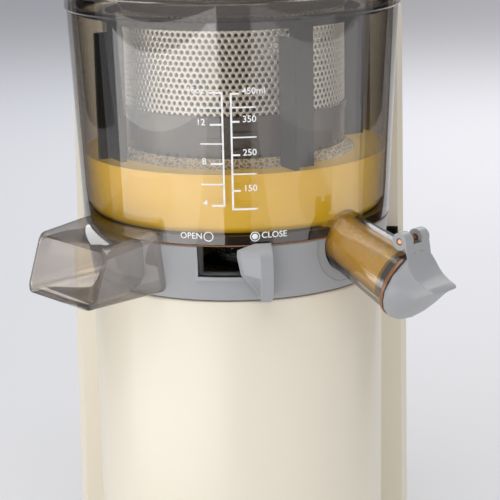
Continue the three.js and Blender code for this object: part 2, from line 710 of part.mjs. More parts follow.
// ---- juice cap ----------------------------------------------------------------------------
const capGroup = new THREE.Group();
bowlSet.add(capGroup);
function capSection(crest, corner, wide, level, keel) {
  const points = [[-corner, crest], [-(corner + wide) / 2 - 0.25 * (wide - corner), (crest + level) / 2]];
  for (let i = 0; i <= 10; i++) {
    const a = (i / 10) * Math.PI;
    points.push([-wide * Math.cos(a), level + (keel - level) * Math.sin(a)]);
  }
  points.push([(corner + wide) / 2 + 0.25 * (wide - corner), (crest + level) / 2], [corner, crest]);
  return points;
}
function juiceCap() {
  const face = juiceLength + gap;
  // Rounded shell over the mouth: crest, corner half-width, widest half-width and its height, keel.
  const shell = loft([
    [0, 15, 7.2, capRadius, 0, -capRadius], [1.5, 13.9, 8.6, capRadius + 0.4, 0, -capRadius - 0.4],
    [3.4, 12.2, 9.2, capRadius - 0.2, 0, 0.2 - capRadius], [6.4, 10.2, 9.2, 14.6, 0, -13.9],
    [9.4, 9, 8.9, 12.3, 0.6, -10], [12.2, 8.5, 8.6, 10.5, 2, -5.2], [15.2, 8.3, 8.3, 9, 4.6, 1.2],
    [capReach - 1, 8.2, 8, 8.2, 7, 5.9], [capReach, 7.7, 7.5, 7.6, 7.2, 6.7],
  ].map(([n, crest, corner, wide, level, keel]) => ({
    z: face + n, points: capSection(crest, corner, wide, level, keel),
  })));
  const z = juiceLength;
  const saddle = [
    [-hingeBack - 2.4, hingeUp + 3.2], [-hingeBack, hingeUp + barrelRadius], [-2.6, 21.2],
    [-0.4, 17.4], [1.6, 13.6], [3, 12], [3, 9], [gap + 0.5, 9], [gap + 0.5, 14.8],
    [-1.2, 17.6], [-3, 19.2],
  ].map(([n, w]) => [n + z, w]);
  const wedge = prism(saddle.map(([n, w]) => [w, n]), -capHalfWidth, capHalfWidth)
    .applyMatrix4(new THREE.Matrix4().makeBasis(
      new THREE.Vector3(0, 1, 0), new THREE.Vector3(0, 0, 1), new THREE.Vector3(1, 0, 0)));
  const hinge = juiceLength - hingeBack;
  const barrel = moved(cylinder(barrelRadius, -capHalfWidth, capHalfWidth, 16).rotateY(90 * deg),
    0, hingeUp, hinge);
  const lugRoom = join(
    moved(cylinder(barrelRadius + 0.1, -lugHalfWidth - 0.4, lugHalfWidth + 0.4, 16).rotateY(90 * deg),
      0, hingeUp, hinge),
    box(-lugHalfWidth - 0.4, lugHalfWidth + 0.4, hingeUp - 9, hingeUp, hinge - 6, hinge + 4.1),
  );
  const bore = moved(cylinder(pinRadius + gap, -12, 12, 10).rotateY(90 * deg), 0, hingeUp, hinge);
  const tubeRoom = spoutCone(0, juiceLength + 0.1, 1.1);
  return cut(join(cut(join(wedge, barrel), tubeRoom), shell), lugRoom, bore);
}
add("juice_cap", atSpout(juiceCap()), grey, capGroup);
const boreAt = (s) => spoutRadiusAt(s) - juiceWall;
function capPlug() {
  const end = juiceLength - plugDepth;
  const plug = revolve([
    [0, end], [boreAt(end) - 2, end], [boreAt(end) - 1.2, end + 1.5],
    [boreAt(juiceLength) - 0.8, juiceLength], [0, juiceLength],
  ], 24);
  // Its upper edge keeps clear of the bore as the cap swings up
  const sweep = Math.hypot(hingeBack, hingeUp - boreAt(juiceLength)) + 1.4;
  return cut(plug, moved(cylinder(sweep, -20, 20, 32).rotateY(90 * deg),
    0, hingeUp, juiceLength - hingeBack));
}
add("cap_plug", atSpout(capPlug()), rubber, capGroup);

// ---- pulp lever ---------------------------------------------------------------------------
const leverGroup = new THREE.Group();
bowlSet.add(leverGroup);
function pulpLever() {
  const z0 = seatZ + leverArmZ;
  const z1 = z0 + leverArmThickness;
  const hub = tube(sleeveRadius + 5, sleeveRadius + runGap, z0, z1, 24);
  const half = leverArmWidth / 2;
  const arm = facing(box(-half, half, sleeveRadius + 2, ringTopRadius + 2.5, z0, z1), leverAngle);
  const inner = ringTopRadius + runGap;
  const front = inner + leverStandOut;
  const level = (z, nose, left, right) => ({
    z, points: [[left, inner], [3.3, nose], [-3.3, nose], [-right, inner]],
  });
  const handle = facing(loft([
    level(seatZ + 1.2, front - 1, 4.2, 5),
    level(seatZ + 3, front, 5, 5),
    level(ringTopZ - 6.5, front, 12.4, 5.4),
    level(ringTopZ + 0.6, front - 5.4, 12.8, 5.4),
  ]), leverAngle);
  const gateArm = facing(box(-3, 3, sleeveRadius + 2, pulpInnerRadius - 2, z0, z1), pulpAngle - 13);
  const gate = sector(pulpInnerRadius - 4.2, pulpInnerRadius - 2, pulpAngle - 17, pulpAngle + 14,
    seatZ + 4, ringTopZ - 1, 8);
  return join(hub, arm, handle, gateArm, gate);
}
add("pulp_lever", pulpLever(), grey, leverGroup);
add("gate_seal", sector(pulpInnerRadius - 1.7, pulpInnerRadius - 0.6, pulpAngle - 12.5,
  pulpAngle + 12.5, seatZ + 4.6, ringTopZ - 1.6, 8), rubber, leverGroup);

// ---- strainer -----------------------------------------------------------------------------
function strainerFrame() {
  const r = strainerRadius;
  const inner = r - strainerWall;
  const z = strainerFootZ;
  const lower = revolve([
    [21.5, z], [r, z], [r, meshFrom - gap], [inner, meshFrom - gap],
    [inner, z + 2.5], [21.5, z + 2.5],
  ], 32);
  const top = tube(r + 1.5, inner, meshTo + gap, strainerTop, 32);
  const ribs = [];
  for (let i = 0; i < 6; i++) {
    ribs.push(box(-2, 2, inner + 0.1, r - screenThickness - gap - 0.1, meshFrom - 2, meshTo + 2)
      .rotateZ((i * 60 + 30) * deg));
  }
  const chute = facing(box(-7.5, 7.5, 22.6, 35, floorTopZ + gap, z + 1), pulpAngle);
  const post = facing(box(-5, 5, 30, 44, floorTopZ + gap, z + 1), pulpAngle + 180);
  const chuteHole = facing(box(-5.5, 5.5, 24.6, 33, floorTopZ - 1, z + 4), pulpAngle);
  return cut(join(lower, top, ...ribs, chute, post), chuteHole);
}
add("strainer_frame", strainerFrame(), amber, bowlSet);
add("strainer_screen", tube(strainerRadius, strainerRadius - screenThickness, meshFrom, meshTo, 40),
  steel, bowlSet);

// ---- auger, idlers and wiper frame ----------------------------------------------------------
// A helical flight about +Z, from inside the core out to the tip.
function flight(start, from, to, turns, inner, outer, thickness) {
  const steps = Math.round(turns * 12);
  const position = [];
  const index = [];
  for (let i = 0; i <= steps; i++) {
    const a = start + (i / steps) * turns * 2 * Math.PI;
    const z = from + ((to - from) * i) / steps;
    for (const [r, dz] of [[inner, 0], [outer, 0.25 * thickness], [outer, 0.75 * thickness], [inner, thickness]]) {
      position.push(r * Math.cos(a), r * Math.sin(a), z + dz);
    }
  }
  for (let i = 0; i < steps; i++) {
    for (let k = 0; k < 4; k++) {
      const a = i * 4 + k;
      const b = i * 4 + ((k + 1) % 4);
      index.push(a, b, a + 4, b, b + 4, a + 4);
    }
  }
  const end = steps * 4;
  index.push(0, 2, 1, 0, 3, 2, end, end + 1, end + 2, end, end + 2, end + 3);
  const g = new THREE.BufferGeometry();
  g.setAttribute("position", new THREE.Float32BufferAttribute(position, 3));
  g.setIndex(index);
  return toSolid(g).volume() < 0 ? flipped(g) : g;
}
function flipped(g) {
  const index = Array.from(g.index.array);
  for (let i = 0; i < index.length; i += 3) {
    [index[i + 1], index[i + 2]] = [index[i + 2], index[i + 1]];
  }
  g.setIndex(index);
  return g;
}
const augerPhase = 0;
function auger() {
  const z = strainerFootZ;
  const bore = sleeveRadius + runGap;
  const core = revolve([
    [bore, gearZ], [bore + 0.9, gearZ], [bore + 0.9, gearZ + gearFace], [20.6, gearZ + gearFace + 0.5],
    [20.6, z + 3], [32, z + 5], [40, z + 18], [25, z + 66], [16, z + 84],
    [augerPin, z + 90], [augerPin, rimZ + 5], [0, rimZ + 6], [0, z + 2], [bore, z + 2],
  ], 20);
  const teeth = plate(gearOutline(wiperModule, augerTeeth, augerPhase),
    [circleOutline(bore + 0.5, 22)], gearZ, gearZ + gearFace);
  const flights = [0, Math.PI].map((start) =>
    flight(start, z + 5, z + 78, 1.6, 14, augerRadius, 5));
  const socket = prism(hexagon(hexAcross + 2 * hexClearance), z + 1, hexTop + 3);
  return cut(join(core, teeth, ...flights), socket);
}
const augerGroup = new THREE.Group();
bowlSet.add(augerGroup);
add("auger", auger(), dark, augerGroup);
const idlerLines = [90, -90].map((turn) => (pulpAngle + turn - 90) * deg);
const idlerPhase = (line) => outerMesh(line, augerPhase, augerTeeth, idlerTeeth);
idlerLines.forEach((line, i) => {
  add("idler_" + (i + 1), plate(gearOutline(wiperModule, idlerTeeth, idlerPhase(line)),
    [circleOutline(3.4, 16)], gearZ, gearZ + gearFace), white, bowlSet)
    .position.set(idlerReach * Math.cos(line), idlerReach * Math.sin(line), 0);
});
const wiperGroup = new THREE.Group();
bowlSet.add(wiperGroup);
const wiperAngles = [31, 121, 211, 301];
function wiperFrame() {
  const phase = innerMesh(idlerLines[0], idlerPhase(idlerLines[0]), idlerTeeth, wiperTeeth);
  const gear = plate(circleOutline(wiperOuter + 0.5, 32),
    [gearOutline(wiperModule, wiperTeeth, phase, true)], gearZ, gearZ + gearFace);
  const top = tube(wiperOuter, wiperInner, wiperTop - 4, wiperTop, 30);
  const foot = tube(wiperOuter, wiperInner, gearZ + gearFace - 0.5, gearZ + gearFace + 6, 32);
  const arms = wiperAngles.map((angle) => facing(box(-wiperArmWidth / 2, wiperArmWidth / 2,
    wiperInner + 0.1, wiperOuter - 0.2, gearZ + gearFace - 1, wiperTop - 1), angle));
  return join(gear, foot, top, ...arms);
}
add("wiper_frame", wiperFrame(), dark, wiperGroup);
wiperAngles.forEach((angle, i) => {
  const side = wiperArmWidth / 2 + gap;
  const blade = box(side, side + 1.8, strainerRadius + 1.9, bladeReach, gearZ + 18, wiperTop - 8);
  add("wiper_blade_" + (i + 1), facing(blade, angle), rubber, wiperGroup);
});

// ---- lid, hopper and pusher -----------------------------------------------------------------
const lidGroup = new THREE.Group();
bowlSet.add(lidGroup);
const skirtRadius = bowlRadiusAt(rimZ - 10) - bowlWall - 0.6;
function lid() {
  const z = lidZ;
  const r = skirtRadius;
  const dome = revolve([
    [0, z + 8], [augerPin + 0.6, z + 8], [augerPin + 0.6, z - 4], [9, z - 4], [9, z + 9],
    [40, z + 8.5], [r - 8, z + 2], [r - 2.4, z - 2], [r - 2.4, z - 10], [r - 1.6, z - 10],
    [r - 1.6, z - 6.5], [r, z - 6.5], [r, z], [lidRadius, z], [lidRadius, z + 3],
    [r - 8, z + 5.5], [40, z + 12], [0, z + 13],
  ], 36);
  const outer = moved(cylinder(tubeRadius, z + 6, tubeTop, 24), 0, -tubeForward, 0);
  const bore = moved(cylinder(tubeRadius - tubeWall, z - 2, tubeTop + 1, 24), 0, -tubeForward, 0);
  return cut(join(dome, outer), bore);
}
add("lid", lid(), smoke, lidGroup);
add("lid_gasket", tube(skirtRadius + 0.3, skirtRadius - 1.3, lidZ - 9.8, lidZ - 6.8, 36), rubber, lidGroup);
function hopper() {
  const collar = tubeRadius + gap;
  const base = tubeTop - 12;
  return revolve([
    [collar, base], [collar + 2.5, base], [collar + 2.5, tubeTop - 4], [hopperRadius - 12, tubeTop - 1],
    [hopperRadius - 2, hopperTop - 3], [hopperRadius, hopperTop], [hopperRadius - 2.6, hopperTop],
    [hopperRadius - 13, tubeTop + 2], [tubeRadius - tubeWall, tubeTop + 0.6],
    [tubeRadius - tubeWall, tubeTop + gap], [collar, tubeTop + gap],
  ], 32);
}
add("hopper", hopper(), smoke, lidGroup).position.set(0, -tubeForward, 0);
const pusherGroup = new THREE.Group();
lidGroup.add(pusherGroup);
const pusherRadius = tubeRadius - tubeWall - 0.8;
add("pusher", revolve([
  [0, lidZ + 14], [pusherRadius - 1, lidZ + 14], [pusherRadius, lidZ + 16],
  [pusherRadius, pusherTop - 16], [0, pusherTop - 16],
], 28), dark, pusherGroup).position.set(0, -tubeForward, 0);
add("pusher_cap", revolve([
  [0, pusherTop - 15.7], [pusherCapRadius - 2, pusherTop - 15.7], [pusherCapRadius, pusherTop - 12],
  [pusherCapRadius, pusherTop - 5], [pusherCapRadius - 3, pusherTop - 1.2], [pusherCapRadius - 9, pusherTop],
  [0, pusherTop],
], 28), grey, pusherGroup).position.set(0, -tubeForward, 0);

// ---- stand the object centred over its origin -------------------------------------------------
const bounds = new THREE.Box3().setFromObject(model);
model.position.set(-(bounds.min.x + bounds.max.x) / 2, -(bounds.min.y + bounds.max.y) / 2, -bounds.min.z);

export default object;
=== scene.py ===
import json
import math

import bmesh
import bpy
from bpy.props import FloatProperty, FloatVectorProperty, PointerProperty
from mathutils import Matrix, Vector


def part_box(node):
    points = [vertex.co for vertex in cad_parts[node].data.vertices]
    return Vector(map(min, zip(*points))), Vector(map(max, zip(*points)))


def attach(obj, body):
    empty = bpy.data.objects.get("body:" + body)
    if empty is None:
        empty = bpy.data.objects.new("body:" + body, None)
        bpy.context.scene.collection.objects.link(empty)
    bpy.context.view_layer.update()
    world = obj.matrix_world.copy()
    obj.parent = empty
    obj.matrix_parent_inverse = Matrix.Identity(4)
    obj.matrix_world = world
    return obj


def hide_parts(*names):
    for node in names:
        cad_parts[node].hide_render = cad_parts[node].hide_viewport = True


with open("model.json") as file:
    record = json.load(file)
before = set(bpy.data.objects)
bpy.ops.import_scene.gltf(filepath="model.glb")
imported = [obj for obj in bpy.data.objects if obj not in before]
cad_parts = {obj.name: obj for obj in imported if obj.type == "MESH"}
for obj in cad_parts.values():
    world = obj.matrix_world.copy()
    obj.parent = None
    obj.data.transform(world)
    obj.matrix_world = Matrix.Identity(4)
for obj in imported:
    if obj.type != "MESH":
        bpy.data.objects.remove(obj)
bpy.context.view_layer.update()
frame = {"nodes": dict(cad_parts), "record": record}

bl_info = {
    "name": "Slow juicer looks",
    "version": (1, 0, 0),
    "blender": (4, 5, 0),
    "location": "View3D > Sidebar > Juicer",
    "description": "Models the visible pieces and finishes of a vertical slow juicer round its packed model",
    "category": "Object",
}

MM = 0.001


def middle(node_name):
    low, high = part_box(node_name)
    return (low + high) / 2


def span(node_name):
    """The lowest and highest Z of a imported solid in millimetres."""
    low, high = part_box(node_name)
    return low.z / MM, high.z / MM


AXIS = middle("strainer_screen").to_2d()
JOINTS = {joint["name"]: joint for joint in frame["record"]["behaviour"]["joints"]}
CAP_HINGE = Vector(JOINTS["juice_cap_hinge"]["pos_m"])
SEAT_Z = span("base_ring")[0] - 0.3
RING_TOP = span("base_ring")[1]
RIM_Z = span("bowl_shell")[1]
FLOOR_Z = RING_TOP + 5.0
RING_TOP_R, RIM_R, BOWL_WALL = 74.3, 78.8, 2.6
STRAINER_R = 53.0
PULP_AZ, LEVER_AZ, JUICE_AZ = -46.5, 11.0, 45.5
POCKET_START, POCKET_END, POCKET_DROP = -12.4, 12.2, 14.4  # the lever's window in the ring
JUICE_SLOPE, SPOUT_ROOT, SPOUT_LENGTH, SPOUT_WALL = 19.7, -17.0, 38.0, 2.2
ARM_LOW, ARM_HIGH = SEAT_Z + 17.5, SEAT_Z + 21.5  # the lever's arm under the bowl's floor
INK_LIFT, INK_THICKNESS = 0.03, 0.00006
CAPITAL_SHARE = 0.73  # a capital's height over the font's size
SHEET_THICKNESS = 0.00045
FLOOR_HALF, FLOOR_DROP = 7.0, 0.0002

# Camera: a long lens just above the bowl, looking down at its front
LENS_MM = 115.4736
CAMERA_ROUND = math.radians(1.9)
CAMERA_FROM_AXIS, CAMERA_HEIGHT = (-0.00049, -0.766), 0.3874
CAMERA_AIM = (0.0087, 0.2555, -0.0186)  # yaw, pitch and roll in radians


# ---- colours and node graphs ------------------------------------------------------------------
def linear(code):
    """A hex sRGB colour as linear RGB."""
    parts = [int(code[i:i + 2], 16) / 255 for i in (1, 3, 5)]
    return tuple(c / 12.92 if c <= 0.04045 else ((c + 0.055) / 1.055) ** 2.4 for c in parts)


def node(tree, kind, settings=None, **sockets):
    """Adds a node, sets its own settings, and fills its sockets with values or links."""
    made = tree.nodes.new("ShaderNode" + kind)
    for key, value in (settings or {}).items():
        setattr(made, key, value)
    for key, value in sockets.items():
        socket = made.inputs[int(key[1:])] if key[0] == "_" else made.inputs[key.replace("_", " ")]
        if isinstance(value, bpy.types.NodeSocket):
            tree.links.new(value, socket)
        elif isinstance(value, tuple) and len(value) == 3 and len(socket.default_value) == 4:
            socket.default_value = (*value, 1.0)
        else:
            socket.default_value = value
    return made


def material(name):
    made = bpy.data.materials.new(name)
    made.use_nodes = True
    made.node_tree.nodes.clear()
    return made, made.node_tree


def finish_with(tree, shader):
    node(tree, "OutputMaterial", Surface=shader.outputs[0])


def place(tree):
    return node(tree, "TexCoord").outputs["Object"]


def blend(tree, share, first, second):
    """A colour between two, by a share from 0 to 1."""
    return node(tree, "Mix", {"data_type": "RGBA"}, _0=share, _6=first, _7=second).outputs[2]


def moulding(name, colour, roughness, grain_mm=0.7, bump=0.03, drift=0.04, coat=0.0):
    """A moulded plastic: a fine eroded skin under the gloss and a slow drift of shade over the part."""
    made, tree = material(name)
    at = place(tree)
    skin = node(tree, "TexNoise", Vector=at, Scale=1 / (grain_mm * MM), Detail=3.0)
    slow = node(tree, "TexNoise", Vector=at, Scale=1 / (70 * MM), Detail=1.0)
    shade = blend(tree, slow.outputs["Fac"], tuple(c * (1 - drift) for c in colour),
                  tuple(min(c * (1 + drift), 1) for c in colour))
    rough = node(tree, "MapRange", Value=skin.outputs["Fac"],
                 To_Min=roughness - 0.04, To_Max=roughness + 0.05)
    relief = node(tree, "Bump", Strength=bump, Distance=0.05 * MM, Height=skin.outputs["Fac"])
    finish_with(tree, node(tree, "BsdfPrincipled", Base_Color=shade, Roughness=rough.outputs[0],
                           Normal=relief.outputs[0], IOR=1.52, Coat_Weight=coat, Coat_Roughness=0.08))
    return made


def clear_moulding(name, face_tint, edge_tint, shine=0.05, edge_power=3.4, roughness=0.025):
    """Smoke-tinted clear polycarbonate: a face passes tinted light, an edge is darker and mirrors more."""
    made, tree = material(name)
    turn = node(tree, "LayerWeight", Blend=0.5).outputs["Facing"]
    steep = node(tree, "Math", {"operation": "POWER"}, _0=turn, _1=edge_power)
    tint = blend(tree, steep.outputs[0], face_tint, edge_tint)
    seen = node(tree, "BsdfTransparent", Color=tint)
    ripple = node(tree, "TexNoise", Vector=place(tree), Scale=1 / (22 * MM), Detail=1.0)
    wave = node(tree, "Bump", Strength=0.02, Distance=0.3 * MM, Height=ripple.outputs["Fac"])
    mirror = node(tree, "BsdfGlossy", Color=(1.0, 1.0, 1.0), Roughness=roughness, Normal=wave.outputs[0])
    fifth = node(tree, "Math", {"operation": "POWER"}, _0=turn, _1=5.0)
    share = node(tree, "Math", {"operation": "MULTIPLY_ADD"}, _0=fifth.outputs[0], _1=0.8, _2=shine)
    finish_with(tree, node(tree, "MixShader", _0=share.outputs[0], _1=seen.outputs[0], _2=mirror.outputs[0]))
    return made


def metal(name, colour, roughness, grain_mm=0.4, stretch=(1.0, 1.0, 14.0)):
    """A drawn or turned metal with short tool lines."""
    made, tree = material(name)
    lined = node(tree, "Mapping", Vector=place(tree), Scale=stretch)
    lines = node(tree, "TexNoise", Vector=lined.outputs[0], Scale=0.2 / (grain_mm * MM), Detail=4.0)
    rough = node(tree, "MapRange", Value=lines.outputs["Fac"],
                 To_Min=roughness - 0.06, To_Max=roughness + 0.1)
    relief = node(tree, "Bump", Strength=0.05, Distance=0.03 * MM, Height=lines.outputs["Fac"])
    finish_with(tree, node(tree, "BsdfPrincipled", Base_Color=colour, Metallic=1.0,
                           Roughness=rough.outputs[0], Normal=relief.outputs[0]))
    return made


def layered(name, dark, light, layer_mm, metallic, roughness):
    """Stacked sheets or windings: thin level bands, one per sheet or turn."""
    made, tree = material(name)
    bands = node(tree, "TexWave", {"wave_type": "BANDS", "bands_direction": "Z"}, Vector=place(tree),
                 Scale=1 / (layer_mm * MM * 20), Distortion=0.4, Detail=1.0)
    shade = blend(tree, bands.outputs["Fac"], dark, light)
    relief = node(tree, "Bump", Strength=0.4, Distance=0.1 * MM, Height=bands.outputs["Fac"])
    finish_with(tree, node(tree, "BsdfPrincipled", Base_Color=shade, Metallic=metallic,
                           Roughness=roughness, Normal=relief.outputs[0]))
    return made


def pressed_juice(name, deep, pulp, foam_share=0.0):
    """Orange juice: fine pulp clouding, a faint painted glow (emission) in place of light carried inside it,
    and pale froth where it is stirred.
    """
    made, tree = material(name)
    at = place(tree)
    cloud = node(tree, "TexNoise", Vector=at, Scale=1 / (9 * MM), Detail=4.0, Roughness=0.6)
    froth = node(tree, "TexNoise", Vector=at, Scale=1 / (2.4 * MM), Detail=5.0, Roughness=0.7, Distortion=0.6)
    body = blend(tree, cloud.outputs["Fac"], deep, pulp)
    height = node(tree, "SeparateXYZ", Vector=node(tree, "NewGeometry").outputs["Normal"])
    upward = node(tree, "MapRange", Value=height.outputs["Z"], From_Min=0.25, From_Max=0.85)
    flecks = node(tree, "MapRange", Value=froth.outputs["Fac"], From_Min=0.46, From_Max=0.62)
    both = node(tree, "Math", {"operation": "MULTIPLY"}, _0=upward.outputs[0], _1=flecks.outputs[0])
    amount = node(tree, "Math", {"operation": "MULTIPLY"}, _0=both.outputs[0], _1=foam_share)
    shade = blend(tree, amount.outputs[0], body, linear("#EFD9A6"))
    relief = node(tree, "Bump", Strength=0.25, Distance=0.2 * MM, Height=froth.outputs["Fac"])
    # Painted glow: a faint emission in the juice's own colour stands in for light carried inside it
    finish_with(tree, node(tree, "BsdfPrincipled", Base_Color=shade, Roughness=0.3, IOR=1.35,
                           Normal=relief.outputs[0], Emission_Color=shade, Emission_Strength=0.10))
    return made


def bubble_foam(name):
    """Froth round the strainer: packed bubbles of about two millimetres with dark gaps."""
    made, tree = material(name)
    cells = node(tree, "TexVoronoi", {"feature": "DISTANCE_TO_EDGE"}, Vector=place(tree),
                 Scale=1 / (2.2 * MM))
    shade = node(tree, "ValToRGB", Fac=cells.outputs["Distance"])
    shade.color_ramp.elements[0].position, shade.color_ramp.elements[0].color = 0.02, (*linear("#E8D9B4"), 1)
    shade.color_ramp.elements[1].position, shade.color_ramp.elements[1].color = 0.22, (*linear("#9A8055"), 1)
    relief = node(tree, "Bump", Strength=0.7, Distance=0.6 * MM, Height=cells.outputs["Distance"])
    finish_with(tree, node(tree, "BsdfPrincipled", Base_Color=shade.outputs[0], Roughness=0.2,
                           Normal=relief.outputs[0]))
    return made


LOOKS = {}


def make_looks():
    """One material for each real material and process on the machine."""
    colours = bpy.context.scene.juicer_colours
    # Satin ABS, injection moulded in cream: soft broad highlights, no grain at arm's length
    LOOKS["cream"] = moulding("cream ABS, satin moulded", tuple(colours.body), 0.34, 0.9, 0.02, 0.02, 0.15)
    # Grey ABS from a finely eroded mould: even satin, and edges catch a thin light line
    LOOKS["grey"] = moulding("grey ABS, fine satin moulded", tuple(colours.trim), 0.38, 0.5, 0.035, 0.03)
    # Polycarbonate with a smoke tint from a polished mould: bowl, lid and dish
    LOOKS["smoke"] = clear_moulding("smoke polycarbonate, polished",
                                    linear("#F8F6F3"), linear("#5A4A3E"), 0.07)
    # The same in the two spouts, whose thicker walls look darker on edge
    LOOKS["clear"] = clear_moulding("light smoke polycarbonate, polished",
                                    linear("#EEE9E4"), linear("#2C221C"), 0.10, 2.2)
    # Polyetherimide, injection moulded: brown, smooth and slightly clouded
    LOOKS["amber"] = moulding("brown polyetherimide, moulded", linear("#44352A"), 0.24, 1.4, 0.05, 0.16)
    # Black nylon with glass fibre, injection moulded: satin with a faint fibre drift
    LOOKS["dark"] = moulding("black glass-filled nylon, moulded", linear("#1E1D1D"), 0.36, 0.6, 0.05, 0.1)
    # Silicone rubber, compression moulded: dull black
    LOOKS["silicone"] = moulding("black silicone, compression moulded",
                                 linear("#1B1A1A"), 0.55, 0.8, 0.08, 0.08)
    # Polycarbonate seen through its thickness: the bowl's floor, and the brown of cut edges
    LOOKS["floor_brown"] = moulding("deep smoke polycarbonate floor", linear("#2A211C"), 0.12, 2.0, 0.02, 0.2)
    LOOKS["brown_edge"] = moulding("smoke polycarbonate edge", linear("#8A5D3A"), 0.15, 2.0, 0.02, 0.1)
    # Stainless sheet, punched and rolled; stainless bar, turned; bronze wire, drawn
    LOOKS["screen"] = metal("stainless sheet, punched and rolled", linear("#EAE5DC"), 0.34)
    LOOKS["steel"] = metal("stainless steel, turned", linear("#C4C4C6"), 0.26)
    LOOKS["pin"] = metal("bronze pin, drawn", linear("#B98A66"), 0.25)
    # Electrical steel sheets, stamped and stacked; enamelled copper wire, wound
    LOOKS["iron"] = layered("electrical steel, stacked sheets",
                            linear("#3B3B3E"), linear("#77777B"), 0.6, 1.0, 0.45)
    LOOKS["copper"] = layered("enamelled copper wire, wound",
                              linear("#7A3B1D"), linear("#C07743"), 0.8, 1.0, 0.3)
    # Natural nylon gears, injection moulded; a glass-epoxy board with green lacquer
    LOOKS["nylon"] = moulding("natural nylon, moulded", linear("#DEDCD3"), 0.42, 0.6, 0.06, 0.03)
    LOOKS["board"] = moulding("glass-epoxy board, lacquered", linear("#1D5B3A"), 0.3, 1.2, 0.1, 0.25)
    # Pressed orange juice with pulp, and its froth; both glow faintly with painted light
    LOOKS["juice"] = pressed_juice("orange juice, pressed, with painted glow", linear("#FFCB1C"), linear("#FFD838"), 0.25)
    LOOKS["spout_juice"] = pressed_juice("orange juice with froth and painted glow",
                                         linear("#FCC61E"), linear("#FFD440"), 1.0)
    LOOKS["foam"] = bubble_foam("juice froth, stirred")
    # White ink, screen printed on the bowl
    LOOKS["ink"] = moulding("white ink, screen printed", linear("#FBFBFA"), 0.5, 0.4, 0.05, 0.0)


# ---- mesh helpers -----------------------------------------------------------------------------
def polar(radius, azimuth, z):
    """A point in metres from millimetres: azimuth in degrees from the front, + towards +X."""
    a = math.radians(azimuth)
    return Vector((AXIS.x + radius * MM * math.sin(a), AXIS.y - radius * MM * math.cos(a), z * MM))


def linked(name, bm):
    """An object in the scene from a bmesh, which is freed."""
    mesh = bpy.data.meshes.new(name)
    bm.to_mesh(mesh)
    bm.free()
    made = bpy.data.objects.new(name, mesh)
    bpy.context.scene.collection.objects.link(made)
    return made


def shaped(name, bm, look, smooth=35.0, bevel=0.0, merge=1e-6, recalc=True, steps=2):
    """A finished mesh object from a bmesh, with smooth shading split at sharp edges."""
    bmesh.ops.remove_doubles(bm, verts=bm.verts, dist=merge)
    if recalc:
        bmesh.ops.recalc_face_normals(bm, faces=bm.faces)
    piece = linked(name, bm)
    piece.data.shade_smooth()
    piece.data.set_sharp_from_angle(angle=math.radians(smooth))
    piece.data.materials.append(LOOKS[look])
    if bevel:
        edge = piece.modifiers.new("edge rounding", "BEVEL")
        edge.width, edge.segments, edge.limit_method = bevel * MM, steps, "ANGLE"
        edge.angle_limit, edge.harden_normals = math.radians(32), True
    return piece


def settle(piece, body, stands_for=()):
    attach(piece, body)
    if stands_for:
        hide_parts(*stands_for)
    return piece


def turned(profile, steps=144, centre=None, angle=360.0, start=0.0, matrix=None):
    """A bmesh of a closed profile of (radius, height) in millimetres turned about the upright axis."""
    bm = bmesh.new()
    middle_point = Vector((0, 0, 0)) if matrix else Vector((*(centre or AXIS), 0))
    a = math.radians(start)
    corners = [bm.verts.new(middle_point + Vector((r * MM * math.sin(a), -r * MM * math.cos(a), z * MM)))
               for r, z in profile]
    edges = [bm.edges.new((corners[i], corners[(i + 1) % len(corners)])) for i in range(len(corners))]
    whole = angle >= 360
    geometry = corners + edges if whole else corners + edges + [bm.faces.new(corners)]
    bmesh.ops.spin(bm, geom=geometry, cent=middle_point, axis=(0, 0, 1), dvec=(0, 0, 0),
                   angle=math.radians(angle), steps=steps, use_merge=whole)
    bmesh.ops.remove_doubles(bm, verts=bm.verts, dist=1e-7)
    bmesh.ops.recalc_face_normals(bm, faces=bm.faces)
    if matrix:
        bmesh.ops.transform(bm, matrix=matrix, verts=bm.verts)
    return bm


def worked(base, *cuts):
    """A bmesh after each (operation, tool bmesh) is joined to or cut from the base bmesh."""
    blank = linked("tool", base)
    tools = []
    for operation, tool_bm in cuts:
        tools.append(linked("tool", tool_bm))
        change = blank.modifiers.new("work", "BOOLEAN")
        change.operation, change.solver, change.object = operation, "EXACT", tools[-1]
    bpy.context.view_layer.update()
    done = blank.evaluated_get(bpy.context.evaluated_depsgraph_get())
    bm = bmesh.new()
    bm.from_mesh(done.to_mesh())
    done.to_mesh_clear()
    for leftover in [blank, *tools]:
        mesh = leftover.data
        bpy.data.objects.remove(leftover)
        bpy.data.meshes.remove(mesh)
    bmesh.ops.dissolve_limit(bm, angle_limit=math.radians(0.5), verts=bm.verts, edges=bm.edges)
    return bm


def gather(target, source):
    """Adds a bmesh to another and frees it."""
    mesh = bpy.data.meshes.new("gathered")
    source.to_mesh(mesh)
    source.free()
    target.from_mesh(mesh)
    bpy.data.meshes.remove(mesh)


def face_outwards(bm):
    """Turns every face of an open sheet round the bowl's axis to look away from it."""
    bm.normal_update()
    for face in bm.faces:
        centre = face.calc_center_median()
        if face.normal.dot(centre - Vector((*AXIS, centre.z))) < 0:
            face.normal_flip()


def block(low, high, matrix=None):
    """A bmesh box between two corners in millimetres."""
    bm = bmesh.new()
    bmesh.ops.create_cube(bm, size=1.0)
    low, high = Vector(low) * MM, Vector(high) * MM
    bmesh.ops.scale(bm, vec=high - low, verts=bm.verts)
    bmesh.ops.translate(bm, vec=(low + high) / 2, verts=bm.verts)
    if matrix:
        bmesh.ops.transform(bm, matrix=matrix, verts=bm.verts)
    return bm


def facing(azimuth):
    """Frame whose X runs sideways, Y inwards and Z up, at an azimuth round the bowl."""
    return Matrix.Translation((*AXIS, 0)) @ Matrix.Rotation(math.radians(azimuth), 4, "Z")


